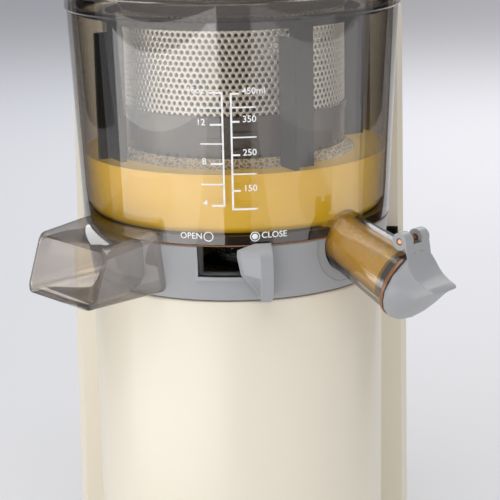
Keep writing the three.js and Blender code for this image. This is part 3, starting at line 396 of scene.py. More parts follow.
def refined(node_name, name, look, body, bevel=0.5, smooth=32.0, steps=2):
    """A smooth, edge-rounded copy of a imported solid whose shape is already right."""
    bm = bmesh.new()
    bm.from_mesh(frame["nodes"][node_name].data)
    bmesh.ops.remove_doubles(bm, verts=bm.verts, dist=2e-6)
    bmesh.ops.dissolve_limit(bm, angle_limit=math.radians(0.6), verts=bm.verts, edges=bm.edges)
    piece = shaped(name, bm, look, smooth, bevel, recalc=False, steps=steps)
    return settle(piece, body, (node_name,))


def repaint(look, *nodes):
    """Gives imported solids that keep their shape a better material."""
    for node_name in nodes:
        data = frame["nodes"][node_name].data
        data.materials.clear()
        data.materials.append(LOOKS[look])


def wall_radius(z):
    return RING_TOP_R + (RIM_R - RING_TOP_R) * (z - RING_TOP) / (RIM_Z - RING_TOP)


def spout_frame():
    """Frame of the juice spout: X to the side, Y up, Z out along the tube."""
    a, s = math.radians(JUICE_AZ), math.radians(JUICE_SLOPE)
    out = Vector((math.sin(a) * math.cos(s), -math.cos(a) * math.cos(s), -math.sin(s)))
    side = Vector((math.cos(a), math.sin(a), 0))
    up = out.cross(side)
    frame_axes = Matrix((side, up, out)).transposed().to_4x4()
    root = CAP_HINGE - frame_axes.to_3x3() @ Vector((0, 20 * MM, 32 * MM))
    return Matrix.Translation(root) @ frame_axes


def tube_radius(s):
    return 13.2 + 2.7 * max(s, 0) / SPOUT_LENGTH


def spout_cone(gap):
    """The juice tube's outside widened by a gap, for cutting its way through a piece."""
    outside = [(tube_radius(s) + gap, s) for s in (SPOUT_ROOT, 0, SPOUT_LENGTH)]
    return turned([(0, SPOUT_ROOT), *outside, (0, SPOUT_LENGTH)], 72, matrix=spout_frame())


def pulp_frame():
    a = math.radians(PULP_AZ)
    axes = Matrix(((math.cos(a), math.sin(a), 0), (math.sin(a), -math.cos(a), 0), (0, 0, 1))).transposed()
    return Matrix.Translation((*AXIS, 0)) @ axes.to_4x4()


def sector(inner, outer, start, end, low, high, steps=24):
    return turned([(inner, low), (outer, low), (outer, high), (inner, high)], steps,
                  angle=end - start, start=start)


# ---- settings ---------------------------------------------------------------------------------
class JuicerSizes(bpy.types.PropertyGroup):
    juice_height: FloatProperty(name="Juice height", description="Height of the juice above the ring's top",
                                default=0.032, min=0.006, max=0.09, unit="LENGTH")
    hole_pitch: FloatProperty(name="Hole pitch", description="Spacing of the strainer's holes",
                              default=0.003, min=0.001, max=0.006, unit="LENGTH")
    hole_width: FloatProperty(name="Hole width", description="Width of the strainer's holes",
                              default=0.0019, min=0.0005, max=0.005, unit="LENGTH")
    line_width: FloatProperty(name="Scale line width", description="Width of the printed scale's lines",
                              default=0.00085, min=0.0002, max=0.002, unit="LENGTH")


class JuicerColours(bpy.types.PropertyGroup):
    body: FloatVectorProperty(name="Body", description="Colour of the motor body", subtype="COLOR", size=3,
                              default=linear("#E6DECC"), min=0, max=1)
    trim: FloatVectorProperty(name="Trim", description="Colour of the ring, lever and cap", subtype="COLOR",
                              size=3, default=linear("#9FA0A2"), min=0, max=1)


# ---- pieces -----------------------------------------------------------------------------------
class JUICER_OT_motor_body(bpy.types.Operator):
    """Makes the motor body's shells, cover, feet, switch and cable gland"""
    bl_idname = "juicer.motor_body"
    bl_label = "Motor body"

    def execute(self, context):
        deck, wall, low = SEAT_Z - 0.3, 3.0, span("front_housing")[0]
        pedestal = turned([(68, low), (71, low), (71, deck - 1.4), (70.6, deck - 0.4), (69.6, deck),
                           (18, deck), (18, deck - 5), (14, deck - 5), (14, deck - 8),
                           (71 - wall, deck - 8)], 160)
        settle(shaped("front_shell", pedestal, "cream", 50), "base", ("front_housing",))
        refined("rear_housing", "rear_shell", "cream", "base", 1.1, steps=3)
        refined("bottom_cover", "underside_cover", "dark", "base", 0.5)
        refined("switch_bezel", "switch_frame", "grey", "base", 0.5)
        refined("switch_rocker", "switch_key", "dark", "switch_rocker", 0.5)
        refined("cable_gland", "cord_gland", "silicone", "base", 0.4)
        for i in range(1, 5):
            x, y = middle(f"foot_{i}").to_2d()
            top = span(f"foot_{i}")[1]
            pad = turned([(0, 0), (7.6, 0), (8.7, 0.8), (9, 1.8), (9, top), (0, top)], 48, centre=(x, y))
            settle(shaped(f"foot_pad_{i}", pad, "silicone", 50), "base", (f"foot_{i}",))
        repaint("steel", "cover_screw_1", "cover_screw_2", "cover_screw_3")
        return {"FINISHED"}


class JUICER_OT_drive(bpy.types.Operator):
    """Gives the motor, gearbox and electrical parts their materials"""
    bl_idname = "juicer.drive"
    bl_label = "Motor and gearbox"

    def execute(self, context):
        repaint("steel", "motor_cup", "gearbox_base", "gearbox_cover",
                "rotor_shaft", "carrier_1", "output_shaft")
        repaint("iron", "motor_stator", "rotor_core")
        repaint("copper", "stator_winding")
        repaint("grey", "gearbox_ring")
        repaint("dark", "gearbox_mount", "cooling_fan", "safety_switch")
        repaint("nylon", *[f"planet_{k}{c}" for k in (1, 2) for c in "abc"], "idler_1", "idler_2")
        repaint("silicone", "shaft_seal", "drive_seal", "gate_seal", "lid_gasket")
        repaint("board", "control_board")
        return {"FINISHED"}


class JUICER_OT_base_ring(bpy.types.Operator):
    """Makes the grey ring with the lever's window and the spouts' openings"""
    bl_idname = "juicer.base_ring"
    bl_label = "Base ring"

    def execute(self, context):
        low, top = SEAT_Z + 0.3, RING_TOP
        ring = turned([(68, low), (70.6, low), (71, low + 0.5), (71.9, low + 7), (73.2, top - 9),
                       (74.1, top - 0.6), (73.8, top), (71.3, top)], 180)
        window = sector(60, 82, POCKET_START, POCKET_END, top - POCKET_DROP, top + 2)
        duct = block((-26.4, 40, SEAT_Z + 1.6), (26.4, 130, top + 5), pulp_frame())
        tube = spout_cone(0.35)
        boss = worked(turned([(0, -6), (18.2, -6), (18.2, 12), (0, 12)], 72, matrix=spout_frame()),
                      ("DIFFERENCE", turned([(0, low - 2), (70.65, low - 2), (73.7, top + 2),
                                             (0, top + 2)], 180)))
        bm = worked(ring, ("DIFFERENCE", window), ("DIFFERENCE", duct),
                    ("DIFFERENCE", boss), ("DIFFERENCE", tube))
        settle(shaped("collar_ring", bm, "grey", 30, 0.35), "bowl", ("base_ring",))
        sill = top - POCKET_DROP
        shelf = sector(63.5, 73.4, POCKET_START - 1, POCKET_END + 1, sill - 1.6, sill)
        cheek = sector(63.5, 73.4, POCKET_START - 1, POCKET_START, sill - 1, top - 0.4, 2)
        other = sector(63.5, 73.4, POCKET_END, POCKET_END + 1, sill - 1, top - 0.4, 2)
        pocket = worked(shelf, ("UNION", cheek), ("UNION", other))
        settle(shaped("lever_pocket", pocket, "grey", 30, 0.3), "bowl", ())
        return {"FINISHED"}


class JUICER_OT_bowl(bpy.types.Operator):
    """Makes the clear bowl, its floor and its base line"""
    bl_idname = "juicer.bowl"
    bl_label = "Bowl"

    def execute(self, context):
        under, top, rim, r = RING_TOP + 0.3, FLOOR_Z, RIM_Z, wall_radius
        profile = [(10.5, under - 22), (14, under - 22), (14, under), (r(under) - 0.6, under),
                   (r(under), under + 0.6), (r(rim - 8), rim - 8), (r(rim - 7) + 1, rim - 7),
                   (r(rim) + 0.8, rim - 0.5), (r(rim) + 0.3, rim), (r(rim) - BOWL_WALL, rim),
                   (r(top + 3) - BOWL_WALL, top + 3), (r(top) - BOWL_WALL - 2.2, top + 0.2),
                   (14, top), (14, top + 8.6), (10.5, top + 8.6)]
        port = sector(23, 33, PULP_AZ - 11, PULP_AZ + 11, under - 2, top + 2, 10)
        bm = worked(turned(profile, 180), ("DIFFERENCE", port),
                    ("DIFFERENCE", spout_cone(0.3)))
        settle(shaped("clear_bowl", bm, "smoke", 40), "bowl", ("bowl_shell",))
        slab = turned([(34.5, under + 0.5), (r(under) - 0.5, under + 0.5), (r(top) - 0.5, top - 0.3),
                       (34.5, top - 0.3)], 180)
        bm = worked(slab, ("DIFFERENCE", spout_cone(0.4)))
        settle(shaped("bowl_floor", bm, "floor_brown", 40), "bowl", ())
        edge = turned([(r(under) - 1.5, under - 0.25), (r(under) - 0.1, under - 0.25),
                       (r(under) + 0.1, under), (r(under) - 0.1, under + 0.35),
                       (r(under) - 1.5, under + 0.35)], 180)
        bm = worked(edge, ("DIFFERENCE", spout_cone(0.5)))
        settle(shaped("bowl_base_line", bm, "brown_edge", 40), "bowl", ())
        return {"FINISHED"}


def lettering(words, height, align):
    """A flat mesh of letters, height in millimetres, around the origin in XY."""
    curve = bpy.data.curves.new("letters", "FONT")
    curve.body, curve.size = words, height * MM / CAPITAL_SHARE
    curve.align_x, curve.align_y = align, "CENTER"
    curve.offset = 0.00006  # a slightly bolder stroke
    curve.resolution_u = 4
    holder = bpy.data.objects.new("letters", curve)
    bpy.context.scene.collection.objects.link(holder)
    bpy.context.view_layer.update()
    bm = bmesh.new()
    mesh = bpy.data.meshes.new_from_object(holder.evaluated_get(bpy.context.evaluated_depsgraph_get()))
    bm.from_mesh(mesh)
    bpy.data.objects.remove(holder)
    bpy.data.curves.remove(curve)
    bpy.data.meshes.remove(mesh)
    return bm


def wrapped(target, source, azimuth, height):
    """Lays a flat bmesh on the bowl's outside, its origin at an azimuth and a height above the ring."""
    for corner in source.verts:
        z = RING_TOP + height + corner.co.y / MM
        radius = wall_radius(z) + INK_LIFT
        corner.co = polar(radius, azimuth + math.degrees(corner.co.x / MM / radius), z)
    gather(target, source)


def stroke(width, height):
    bm = bmesh.new()
    bmesh.ops.create_grid(bm, x_segments=8, y_segments=1, size=0.5)
    bmesh.ops.scale(bm, vec=(width * MM, height * MM, 1), verts=bm.verts)
    return bm


def circle_mark(radius, hole):
    bm = bmesh.new()
    rings = [bmesh.ops.create_circle(bm, segments=40, radius=r * MM)["verts"] for r in (hole, radius)]
    edges = list({e for ring in rings for v in ring for e in v.link_edges})
    bmesh.ops.bridge_loops(bm, edges=edges)
    return bm


class JUICER_OT_scale(bpy.types.Operator):
    """Prints the volume scale and the lever's two marks on the bowl"""
    bl_idname = "juicer.scale"
    bl_label = "Printed scale"

    def execute(self, context):
        bold = context.scene.juicer_sizes.line_width / MM
        thin = bold * 0.72
        ink = bmesh.new()
        degree = math.radians(1) * wall_radius(RING_TOP + 45)

        def level(start, end, height, width):
            wrapped(ink, stroke(abs(end - start) * degree, width), (start + end) / 2, height)

        def upright(azimuth, low, high):
            for k in range(6):
                part = (high - low) / 6
                wrapped(ink, stroke(bold, part + 0.01), azimuth, low + part * (k + 0.5))

        upright(-2.2, 19.1 - bold / 2, 69.8 + bold / 2)
        upright(0.7, 17.4 - bold / 2, 69.3 + bold / 2)
        for height, figure in ((69.8, "16oz"), (55.7, "12"), (38.1, "8"), (19.1, "4")):
            level(-6.4, -2.2, height, bold)
            wrapped(ink, lettering(figure, 3.0, "RIGHT"), -7.8, height + 1.0)
        for height in (63.1, 47.1, 28.8):
            level(-9.8, -2.2, height, thin)
        for height, figure in ((69.3, "450ml"), (56.9, "350"), (42.0, "250"), (25.8, "150")):
            level(0.7, 3.4, height, bold)
            wrapped(ink, lettering(figure, 3.0, "LEFT"), 4.3, height + 1.0)
        for height in (63.2, 49.9, 33.4):
            level(0.7, 8.9, height, thin)
        level(0.7, 9.0, 17.4, bold)
        wrapped(ink, circle_mark(2.25, 1.8), -8.0, 4.8)
        wrapped(ink, circle_mark(2.25, 1.85), 8.0, 4.6)
        wrapped(ink, circle_mark(1.35, 0.02), 8.0, 4.6)
        wrapped(ink, lettering("OPEN", 2.9, "RIGHT"), -10.1, 4.9)
        wrapped(ink, lettering("CLOSE", 2.9, "LEFT"), 10.2, 5.0)
        bmesh.ops.remove_doubles(ink, verts=ink.verts, dist=1e-6)
        face_outwards(ink)
        piece = shaped("printed_scale", ink, "ink", 30, recalc=False, merge=1e-7)
        coat = piece.modifiers.new("ink thickness", "SOLIDIFY")
        coat.thickness, coat.offset = INK_THICKNESS, 1.0
        settle(piece, "bowl", ())
        return {"FINISHED"}


class JUICER_OT_pulp_spout(bpy.types.Operator):
    """Makes the clear pulp duct with its rounded, bowed mouth"""
    bl_idname = "juicer.pulp_spout"
    bl_label = "Pulp spout"

    def execute(self, context):
        low, roof, half, wall = SEAT_Z + 2, FLOOR_Z + 0.9, 26.0, 2.2

        def mouth(t, z):
            radius = 80 + (FLOOR_Z - z) * 9 / 31.2
            return 23 + math.sqrt(radius * radius - t * t)

        bm = bmesh.new()
        corners = [bm.verts.new((t * MM, 44 * MM, z * MM)) for t, z in
                   ((-half, low), (half, low), (half, roof), (-half, roof))]
        bm.faces.new(corners)
        bmesh.ops.bevel(bm, geom=corners, offset=5.2 * MM, segments=7, profile=0.5,
                        affect="VERTICES", material=-1)
        face = bm.faces[:][0]
        first = list(face.edges)
        bmesh.ops.delete(bm, geom=[face], context="FACES_ONLY")
        outline = {}
        for edge in first:
            for corner in edge.verts:
                outline[tuple(round(c, 6) for c in corner.co.xz)] = corner
        flat = {corner: (corner.co.x / MM, corner.co.z / MM) for corner in outline.values()}

        def push(loop, plan, inset, station):
            """Extrudes a loop to a station; plan keeps each corner's place in the outline."""
            new = bmesh.ops.extrude_edge_only(bm, edges=loop)["geom"]
            verts = [g for g in new if isinstance(g, bmesh.types.BMVert)]
            edges = [g for g in new if isinstance(g, bmesh.types.BMEdge) and all(v in verts for v in g.verts)]
            fresh = {}
            for v in verts:
                old = next(o for e in v.link_edges for o in e.verts if o in plan and o is not v)
                t, z = plan[old]
                fresh[v] = (t, z)
                shrink_t, shrink_z, squeeze = inset
                mid = (low + roof) / 2
                tt = t * (half - shrink_t) / half
                zz = mid + (z - mid) * ((roof - low) / 2 - shrink_z) / ((roof - low) / 2)
                n = mouth(tt, zz) + station if station <= 0 else station
                drop = 3.4 * max(n - 75, 0) / 28 * (zz - low) / (roof - low)
                v.co = Vector((tt * squeeze, n, zz - drop)) * MM
            return edges, fresh

        loop, plan = first, flat
        for station in (60, 75, 88, -6, -0.7):
            loop, plan = push(loop, plan, (0, 0, 1), station)
        loop, plan = push(loop, plan, (0.35, 0.35, 1), -0.12)
        loop, plan = push(loop, plan, (wall * 0.5, wall * 0.5, 1), 0)
        loop, plan = push(loop, plan, (wall - 0.35, wall - 0.35, 1), -0.12)
        loop, plan = push(loop, plan, (wall, wall, 1), -0.7)
        for inset, station in (((wall, wall, 1), -6), ((wall + 0.6, wall + 0.4, 1), 88),
                               ((wall + 4.5, wall + 1.6, 1), 76), ((wall + 12, wall + 5.5, 1), 66),
                               ((half - 7.5, wall + 7.6, 1), 58), ((half - 7, wall + 7.6, 1), 44)):
            loop, plan = push(loop, plan, inset, station)
        bmesh.ops.bridge_loops(bm, edges=first + loop)
        bmesh.ops.recalc_face_normals(bm, faces=bm.faces)
        bmesh.ops.transform(bm, matrix=pulp_frame(), verts=bm.verts)
        bmesh.ops.recalc_face_normals(bm, faces=bm.faces)
        bowl_room = turned([(0, RING_TOP - 0.3), (RING_TOP_R + 0.3, RING_TOP - 0.3),
                            (RING_TOP_R + 0.3, RING_TOP), (RIM_R + 0.3, RIM_Z), (0, RIM_Z)], 180)
        bm = worked(bm, ("DIFFERENCE", bowl_room))
        settle(shaped("pulp_duct", bm, "clear", 30), "bowl", ("pulp_spout",))
        return {"FINISHED"}


class JUICER_OT_juice_spout(bpy.types.Operator):
    """Makes the clear juice tube, its pin, cap and plug"""
    bl_idname = "juicer.juice_spout"
    bl_label = "Juice spout and cap"

    def execute(self, context):
        at = spout_frame()
        r, end, wall = tube_radius, SPOUT_LENGTH, SPOUT_WALL
        tube = turned([(r(-16), -16), (r(0), 0), (r(end - 2.4), end - 2.4), (16.5, end - 1.9),
                       (16.7, end - 1.4), (16.7, end - 0.3), (16.4, end), (r(end) - wall, end),
                       (r(0) - wall, 0), (r(-14) - wall, -14), (0, -14), (0, -16)], 96, matrix=at)
        lug = block((-2.5, 14, end - 9.4), (2.5, 20, end - 2.6), at)
        inside = turned([(0, RING_TOP - 0.3), (70.7, RING_TOP - 0.3), (74.6, RIM_Z), (0, RIM_Z)], 180)
        bm = worked(tube, ("UNION", lug), ("DIFFERENCE", inside))
        settle(shaped("juice_tube", bm, "clear", 30), "bowl", ("juice_spout",))
        rim = turned([(r(end) - 0.5, end - 1.7), (16.75, end - 1.7), (16.85, end - 1), (16.75, end - 0.2),
                      (r(end) - 0.5, end - 0.2)], 96, matrix=at)
        hinge_room = block((-9, 9, end - 4), (9, 22, end + 2), at)
        rim = worked(rim, ("DIFFERENCE", hinge_room))
        settle(shaped("juice_tube_rim", rim, "brown_edge", 40), "bowl", ())
        refined("juice_cap", "spout_cap", "grey", "juice_cap", 0.7, 40, 3)
        refined("cap_plug", "spout_plug", "silicone", "juice_cap", 0.4)
        refined("hinge_pin", "cap_pin", "pin", "bowl", 0.3)
        return {"FINISHED"}


class JUICER_OT_pulp_lever(bpy.types.Operator):
    """Makes the lever that opens and shuts the pulp gate"""
    bl_idname = "juicer.pulp_lever"
    bl_label = "Pulp lever"

    def execute(self, context):
        bottom, top, near = SEAT_Z + 1.4, RING_TOP, RING_TOP_R + 0.5
        face, half = near + 7.6, 2.9
        bm = bmesh.new()
        levels = ((bottom, near - 3.3, near + 4.2, 2.6, 2.4), (bottom + 2.8, near - 3, near + 6.4, 3.6, half),
                  (top - 13, near - 1, face, 10.6, half), (top - 4.2, near - 0.4, face - 0.6, 12.4, half),
                  (top - 1.2, near - 0.1, face - 2.4, 12.2, half),
                  (top + 1.5, near + 0.3, near + 1.2, 4.4, half))
        rings = []
        for z, back, front, left, width in levels:
            plan = ((-left, back), (-left + 1.6, back + 0.4), (-width, front), (width, front),
                    (width + 0.5, back))
            rings.append([bm.verts.new((x * MM, -y * MM, z * MM)) for x, y in plan])
        for lower, upper in zip(rings, rings[1:]):
            for i in range(5):
                bm.faces.new((lower[i], lower[(i + 1) % 5], upper[(i + 1) % 5], upper[i]))
        bm.faces.new(list(reversed(rings[0])))
        bm.faces.new(rings[-1])
        bmesh.ops.transform(bm, matrix=facing(LEVER_AZ), verts=bm.verts)
        arm = block((-3.5, -near - 1, ARM_LOW), (3.5, -16, ARM_HIGH), facing(LEVER_AZ))
        bm = worked(bm, ("UNION", arm))
        settle(shaped("gate_lever", bm, "grey", 28, 0.55), "pulp_lever", ("pulp_lever",))
        gate = sector(31.8, 34, PULP_AZ - 17, PULP_AZ + 14, SEAT_Z + 4, top - 1)
        hub = turned([(14.5, ARM_LOW), (19, ARM_LOW), (19, ARM_HIGH), (14.5, ARM_HIGH)], 64)
        link = block((-3, -33, ARM_LOW), (3, -16, ARM_HIGH), facing(PULP_AZ - 13))
        bm = worked(hub, ("UNION", link), ("UNION", gate))
        settle(shaped("gate_shutter", bm, "dark", 30, 0.2), "pulp_lever", ())
        return {"FINISHED"}


class JUICER_OT_strainer(bpy.types.Operator):
    """Makes the strainer's brown frame and its punched steel screen"""
    bl_idname = "juicer.strainer"
    bl_label = "Strainer"

    def execute(self, context):
        sizes = context.scene.juicer_sizes
        low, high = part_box("strainer_screen")
        around = round(2 * math.pi * STRAINER_R * MM / sizes.hole_pitch)
        pitch = 2 * math.pi * (STRAINER_R - 0.25) * MM / around
        row = pitch * math.sqrt(3) / 2
        rows = 2 * round((high.z - low.z) / row / 2)
        cell = bmesh.new()
        outer = bmesh.ops.create_circle(cell, segments=6, radius=pitch / math.sqrt(3))["verts"]
        inner = bmesh.ops.create_circle(cell, segments=12, radius=sizes.hole_width / 2)["verts"]
        edges = list({e for v in outer + inner for e in v.link_edges})
        bmesh.ops.bridge_loops(cell, edges=edges)

        def repeat(count, step):
            made = 1
            while made < count:
                more = min(made, count - made)
                keep = sorted(cell.faces, key=lambda f: f.index)[:len(cell.faces) * more // made]
                geometry = list({v for f in keep for v in f.verts}) + keep
                copy = bmesh.ops.duplicate(cell, geom=geometry)["geom"]
                corners = [g for g in copy if isinstance(g, bmesh.types.BMVert)]
                bmesh.ops.translate(cell, vec=step * made, verts=corners)
                cell.faces.index_update()
                made += more

        cell.faces.index_update()
        repeat(2, Vector((pitch / 2, row, 0)))
        repeat(rows // 2, Vector((0, 2 * row, 0)))
        repeat(around, Vector((pitch, 0, 0)))
        base = (low.z + high.z) / 2 - (rows - 1) * row / 2
        for corner in cell.verts:
            a = corner.co.x / pitch * 2 * math.pi / around
            z = min(max(base + corner.co.y, low.z), high.z)
            corner.co = polar(STRAINER_R - 0.05, math.degrees(a), z / MM)
        bmesh.ops.remove_doubles(cell, verts=cell.verts, dist=2e-5)
        face_outwards(cell)
        screen = shaped("punched_screen", cell, "screen", 30, recalc=False)
        sheet = screen.modifiers.new("sheet thickness", "SOLIDIFY")
        sheet.thickness, sheet.offset = SHEET_THICKNESS, -1.0
        settle(screen, "bowl", ("strainer_screen",))
        foot, r = span("strainer_frame")[0] + 7.0, STRAINER_R
        edge_low, edge_high, top = low.z / MM, high.z / MM, span("strainer_frame")[1]
        basket = turned([(21.5, foot), (r - 1.5, foot), (r, foot + 1.5), (r, edge_low - 2.6),
                         (r + 0.9, edge_low - 2.2), (r + 0.9, edge_low + 0.6), (r + 0.3, edge_low + 1),
                         (r - 0.7, edge_low + 1), (r - 2.5, edge_low - 3), (r - 2.5, foot + 2.5),
                         (21.5, foot + 2.5)], 128)
        crown = turned([(r - 0.7, edge_high - 1), (r + 0.4, edge_high - 1), (r + 1.5, edge_high),
                        (r + 1.5, top - 0.5), (r + 1, top), (r - 2.5, top),
                        (r - 2.5, edge_high + 0.5)], 128)
        drains = bmesh.new()
        for k in range(60):
            drill = bmesh.new()
            bmesh.ops.create_cone(drill, cap_ends=True, segments=10, radius1=0.9 * MM, radius2=0.9 * MM,
                                  depth=12 * MM)
            bmesh.ops.scale(drill, vec=(1.5, 1, 1), verts=drill.verts)
            inwards = Matrix.Translation((0, -r * MM, (foot + 24) * MM)) @ Matrix.Rotation(math.pi / 2, 4, "X")
            bmesh.ops.transform(drill, matrix=facing(k * 6 + 2) @ inwards, verts=drill.verts)
            gather(drains, drill)
        bm = worked(basket, ("DIFFERENCE", drains))
        settle(shaped("strainer_basket", bm, "amber", 35), "bowl", ("strainer_frame",))
        settle(shaped("strainer_crown", crown, "amber", 35), "bowl", ())
        ribs = bmesh.new()
        for k in range(6):
            gather(ribs, block((-2, -r + 0.7, edge_low - 1), (2, -r + 2.6, edge_high + 1),
                               facing(k * 60 + 30)))
        settle(shaped("strainer_ribs", ribs, "amber", 30, 0.3), "bowl", ())
        return {"FINISHED"}


class JUICER_OT_wiper(bpy.types.Operator):
    """Makes the wiper frame, its blades and the auger"""
    bl_idname = "juicer.wiper"
    bl_label = "Wiper frame and auger"

    def execute(self, context):
        refined("wiper_frame", "wiper_cage", "dark", "wiper", 0.3)
        for i in range(1, 5):
            refined(f"wiper_blade_{i}", f"wiper_edge_{i}", "silicone", "wiper", 0.3)
        refined("auger", "pressing_auger", "dark", "auger", 0.4, 40)
        return {"FINISHED"}


class JUICER_OT_lid(bpy.types.Operator):
    """Makes the clear lid with its feed tube, the hopper dish and the pusher"""
    bl_idname = "juicer.lid"
    bl_label = "Lid, hopper and pusher"

    def execute(self, context):
        z = RIM_Z + 0.3
        r = wall_radius(RIM_Z - 10) - BOWL_WALL - 0.6
        mid = middle("pusher").to_2d()
        tube_top = span("lid")[1]
        dome = turned([(0, z + 8), (5.6, z + 8), (5.6, z - 4), (9, z - 4), (9, z + 9), (40, z + 8.5),
                       (r - 8, z + 2), (r - 2.4, z - 2), (r - 2.4, z - 10), (r - 1.6, z - 10),
                       (r - 1.6, z - 6.5), (r, z - 6.5), (r, z), (79.6, z), (79.6, z + 2.4), (79, z + 3),
                       (r - 8, z + 5.5), (40, z + 12), (0, z + 13)], 160)
        outer = turned([(0, z + 6), (23, z + 6), (23, tube_top), (0, tube_top)], 96, centre=mid)
        bore = turned([(0, z - 2), (20.5, z - 2), (20.5, tube_top + 1), (0, tube_top + 1)], 96, centre=mid)
        bm = worked(dome, ("UNION", outer), ("DIFFERENCE", bore))
        settle(shaped("clear_lid", bm, "smoke", 35, 0.5), "lid", ("lid",))
        base, top = span("hopper")
        dish = turned([(23.3, base), (25.8, base), (25.8, tube_top - 4), (30, tube_top - 2.6),
                       (44, tube_top - 1), (54, top - 3), (55.7, top - 0.8), (55.4, top), (53.4, top),
                       (43, tube_top + 2), (30, tube_top + 0.9), (20.5, tube_top + 0.6),
                       (20.5, tube_top + 0.3), (23.3, tube_top + 0.3)], 128, centre=mid)
        settle(shaped("hopper_dish", dish, "smoke", 40), "lid", ("hopper",))
        low, high = span("pusher")
        rod = turned([(0, low), (18, low), (19.2, low + 0.6), (19.7, low + 2), (19.7, high), (0, high)], 96,
                     centre=mid)
        settle(shaped("food_pusher", rod, "dark", 40), "pusher", ("pusher",))
        low, high = span("pusher_cap")
        knob = turned([(0, low), (24.6, low), (26.2, low + 1.2), (27, low + 3.4), (27, high - 5),
                       (26.2, high - 3), (24, high - 1.2), (20, high - 0.3), (17, high), (0, high)], 96,
                      centre=mid)
        settle(shaped("pusher_knob", knob, "grey", 50), "pusher", ("pusher_cap",))
        return {"FINISHED"}


class JUICER_OT_juice(bpy.types.Operator):
    """Fills the bowl and the shut spout with juice, with froth round the strainer"""
    bl_idname = "juicer.juice"
    bl_label = "Juice"

    def execute(self, context):
        level = RING_TOP + context.scene.juicer_sizes.juice_height / MM
        r = lambda z: wall_radius(z) - BOWL_WALL - 0.2
        low = FLOOR_Z + 0.3
        body = turned([(34, low), (r(low) - 2.2, low), (r(low + 3), low + 3), (r(level), level + 0.5),
                       (r(level) - 1, level), (r(level) - 5, level - 0.3),
                       (STRAINER_R + 3, level - 0.3), (34, level - 0.3)], 160)
        settle(shaped("bowl_juice", body, "juice", 50), "bowl")
        ring = turned([(STRAINER_R - 0.3, level - 0.6), (STRAINER_R + 5, level - 0.4),
                       (STRAINER_R + 3, level + 0.6), (STRAINER_R + 1.2, level + 2.4),
                       (STRAINER_R + 0.2, level + 3.6)], 220)
        settle(shaped("juice_froth", ring, "foam", 60), "bowl")
        s1 = SPOUT_LENGTH - 8.3
        inner = lambda s: tube_radius(s) - SPOUT_WALL - 0.15
        fill = turned([(0, -13.6), (inner(-13.6), -13.6), (inner(0), 0), (inner(s1), s1), (0, s1)], 96,
                      matrix=spout_frame())
        settle(shaped("spout_juice", fill, "spout_juice", 40), "bowl")
        return {"FINISHED"}


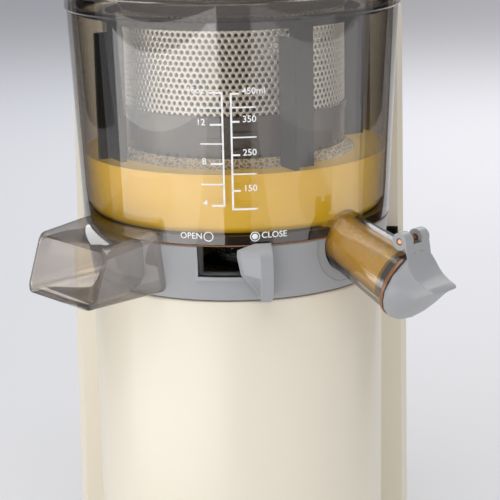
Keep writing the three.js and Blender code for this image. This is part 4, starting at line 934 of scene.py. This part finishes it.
class JUICER_OT_stage(bpy.types.Operator):
    """Sets the pale floor with its painted light falloff, the soft lamps and the camera"""
    bl_idname = "juicer.stage"
    bl_label = "Floor, lamps and camera"

    def execute(self, context):
        # The floor's colour is painted lighter and darker from left to right and from near to far: a painted
        # light falloff
        made, tree = material("pale studio paper, painted light falloff")
        at = node(tree, "SeparateXYZ", Vector=place(tree))
        painted_falloff_far = node(tree, "MapRange", Value=at.outputs["Y"], From_Min=-0.6, From_Max=1.5)
        side = node(tree, "MapRange", Value=at.outputs["X"], From_Min=-0.2, From_Max=0.5)
        left = blend(tree, painted_falloff_far.outputs[0], linear("#E6E6E7"), linear("#D7D9DF"))
        right = blend(tree, painted_falloff_far.outputs[0], linear("#DDDDDE"), linear("#F4F3F7"))
        both = blend(tree, side.outputs[0], left, right)
        finish_with(tree, node(tree, "BsdfPrincipled", Base_Color=both, Roughness=0.7))
        bm = bmesh.new()
        bmesh.ops.create_grid(bm, x_segments=1, y_segments=1, size=1)
        bmesh.ops.scale(bm, vec=(FLOOR_HALF, FLOOR_HALF, 1), verts=bm.verts)
        bmesh.ops.translate(bm, vec=(0, 0, -FLOOR_DROP), verts=bm.verts)
        floor = linked("floor", bm)
        floor.data.materials.append(made)

        world = bpy.data.worlds.new("studio")
        context.scene.world = world
        world.use_nodes = True
        world.node_tree.nodes["Background"].inputs[0].default_value = (*linear("#F4F4F7"), 1)
        world.node_tree.nodes["Background"].inputs[1].default_value = 0.50
        aim = Vector((*AXIS, 0.22))

        def lamp(name, spot, size, brightness, colour="#FFFFFF", target=aim):
            """A soft box whose face has the given radiance."""
            data = bpy.data.lights.new(name, "AREA")
            data.shape, data.size, data.size_y = "RECTANGLE", size[0], size[1]
            data.energy = brightness * math.pi * size[0] * size[1]
            data.color = linear(colour)
            holder = bpy.data.objects.new(name, data)
            holder.location = spot
            holder.rotation_euler = (Vector(target) - Vector(spot)).to_track_quat("-Z", "Y").to_euler()
            holder.visible_camera = False
            context.scene.collection.objects.link(holder)

        lamp("left soft wall", (-0.355, -0.36, 0.10), (0.78, 0.21), 2.2)
        lamp("right soft wall", (0.40, -0.30, 0.10), (0.90, 0.22), 0.65)
        lamp("overhead soft box", (-0.1, -0.5, 1.3), (1.1, 0.9), 2.2)
        lamp("back soft box", (0.2, 1.4, 1.2), (1.6, 0.8), 3.0, target=(0, 0.6, 0))

        # Dark cards out of frame keep the polished walls from mirroring the pale floor: they are painted dark
        # reflections, seen only by mirror rays, hidden from the camera and casting no shadow
        reflection_card_look, tree = material("black card, seen only in reflections")
        finish_with(tree, node(tree, "BsdfPrincipled", Base_Color=linear("#101010"), Roughness=0.9,
                               Normal=node(tree, "Bump", Height=node(tree, "TexNoise", Vector=place(tree),
                                                                     Scale=400.0).outputs["Fac"]).outputs[0]))
        for name, low, high in (("front_card", (-0.30, -1.1, 0.004), (0.30, -0.5, 0.006)),
                                ("left_card", (-0.62, 0.06, 0.0), (-0.60, 0.75, 0.4)),
                                ("right_card", (0.55, 0.12, 0.0), (0.57, 0.75, 0.4))):
            card = linked(name, block(Vector(low) / MM, Vector(high) / MM))
            card.data.materials.append(reflection_card_look)
            for ray in ("camera", "diffuse", "shadow", "transmission"):
                setattr(card, "visible_" + ray, False)

        yaw, pitch, roll = CAMERA_AIM
        spin = Matrix.Rotation(CAMERA_ROUND, 3, "Z")
        level = math.cos(pitch)
        ahead = spin @ Vector((math.sin(yaw) * level, math.cos(yaw) * level, -math.sin(pitch)))
        right = spin @ Vector((math.cos(yaw), -math.sin(yaw), 0))
        up = right.cross(ahead)
        axis_x = math.cos(roll) * right + math.sin(roll) * up
        axis_y = -math.sin(roll) * right + math.cos(roll) * up
        data = bpy.data.cameras.new("camera")
        data.sensor_width, data.lens = 36, LENS_MM
        data.clip_start, data.clip_end = 0.02, 20
        camera = bpy.data.objects.new("camera", data)
        stand = spin @ Vector((*CAMERA_FROM_AXIS, 0)) + Vector((*AXIS, CAMERA_HEIGHT))
        axes = Matrix((axis_x, axis_y, -ahead)).transposed().to_4x4()
        camera.matrix_world = Matrix.Translation(stand) @ axes
        context.scene.collection.objects.link(camera)
        context.scene.camera = camera
        context.scene.view_settings.view_transform = "Standard"
        return {"FINISHED"}


STEPS = (JUICER_OT_stage, JUICER_OT_motor_body, JUICER_OT_drive, JUICER_OT_base_ring, JUICER_OT_bowl,
         JUICER_OT_scale, JUICER_OT_pulp_spout, JUICER_OT_juice_spout, JUICER_OT_pulp_lever,
         JUICER_OT_strainer, JUICER_OT_wiper, JUICER_OT_lid, JUICER_OT_juice)


class JUICER_PT_panel(bpy.types.Panel):
    """Lists the juicer's settings and pieces"""
    bl_idname = "JUICER_PT_panel"
    bl_label = "Slow juicer"
    bl_space_type = "VIEW_3D"
    bl_region_type = "UI"
    bl_category = "Juicer"

    def draw(self, context):
        for group in (context.scene.juicer_sizes, context.scene.juicer_colours):
            for name in group.__annotations__:
                self.layout.prop(group, name)
        for step in STEPS:
            self.layout.operator(step.bl_idname)


CLASSES = (JuicerSizes, JuicerColours, *STEPS, JUICER_PT_panel)


def register():
    for cls in CLASSES:
        bpy.utils.register_class(cls)
    bpy.types.Scene.juicer_sizes = PointerProperty(type=JuicerSizes)
    bpy.types.Scene.juicer_colours = PointerProperty(type=JuicerColours)


def unregister():
    del bpy.types.Scene.juicer_colours
    del bpy.types.Scene.juicer_sizes
    for cls in reversed(CLASSES):
        bpy.utils.unregister_class(cls)


def main():
    register()
    make_looks()
    for step in STEPS:
        group, name = step.bl_idname.split(".")
        getattr(getattr(bpy.ops, group), name)()


if __name__ == "__main__":
    main()
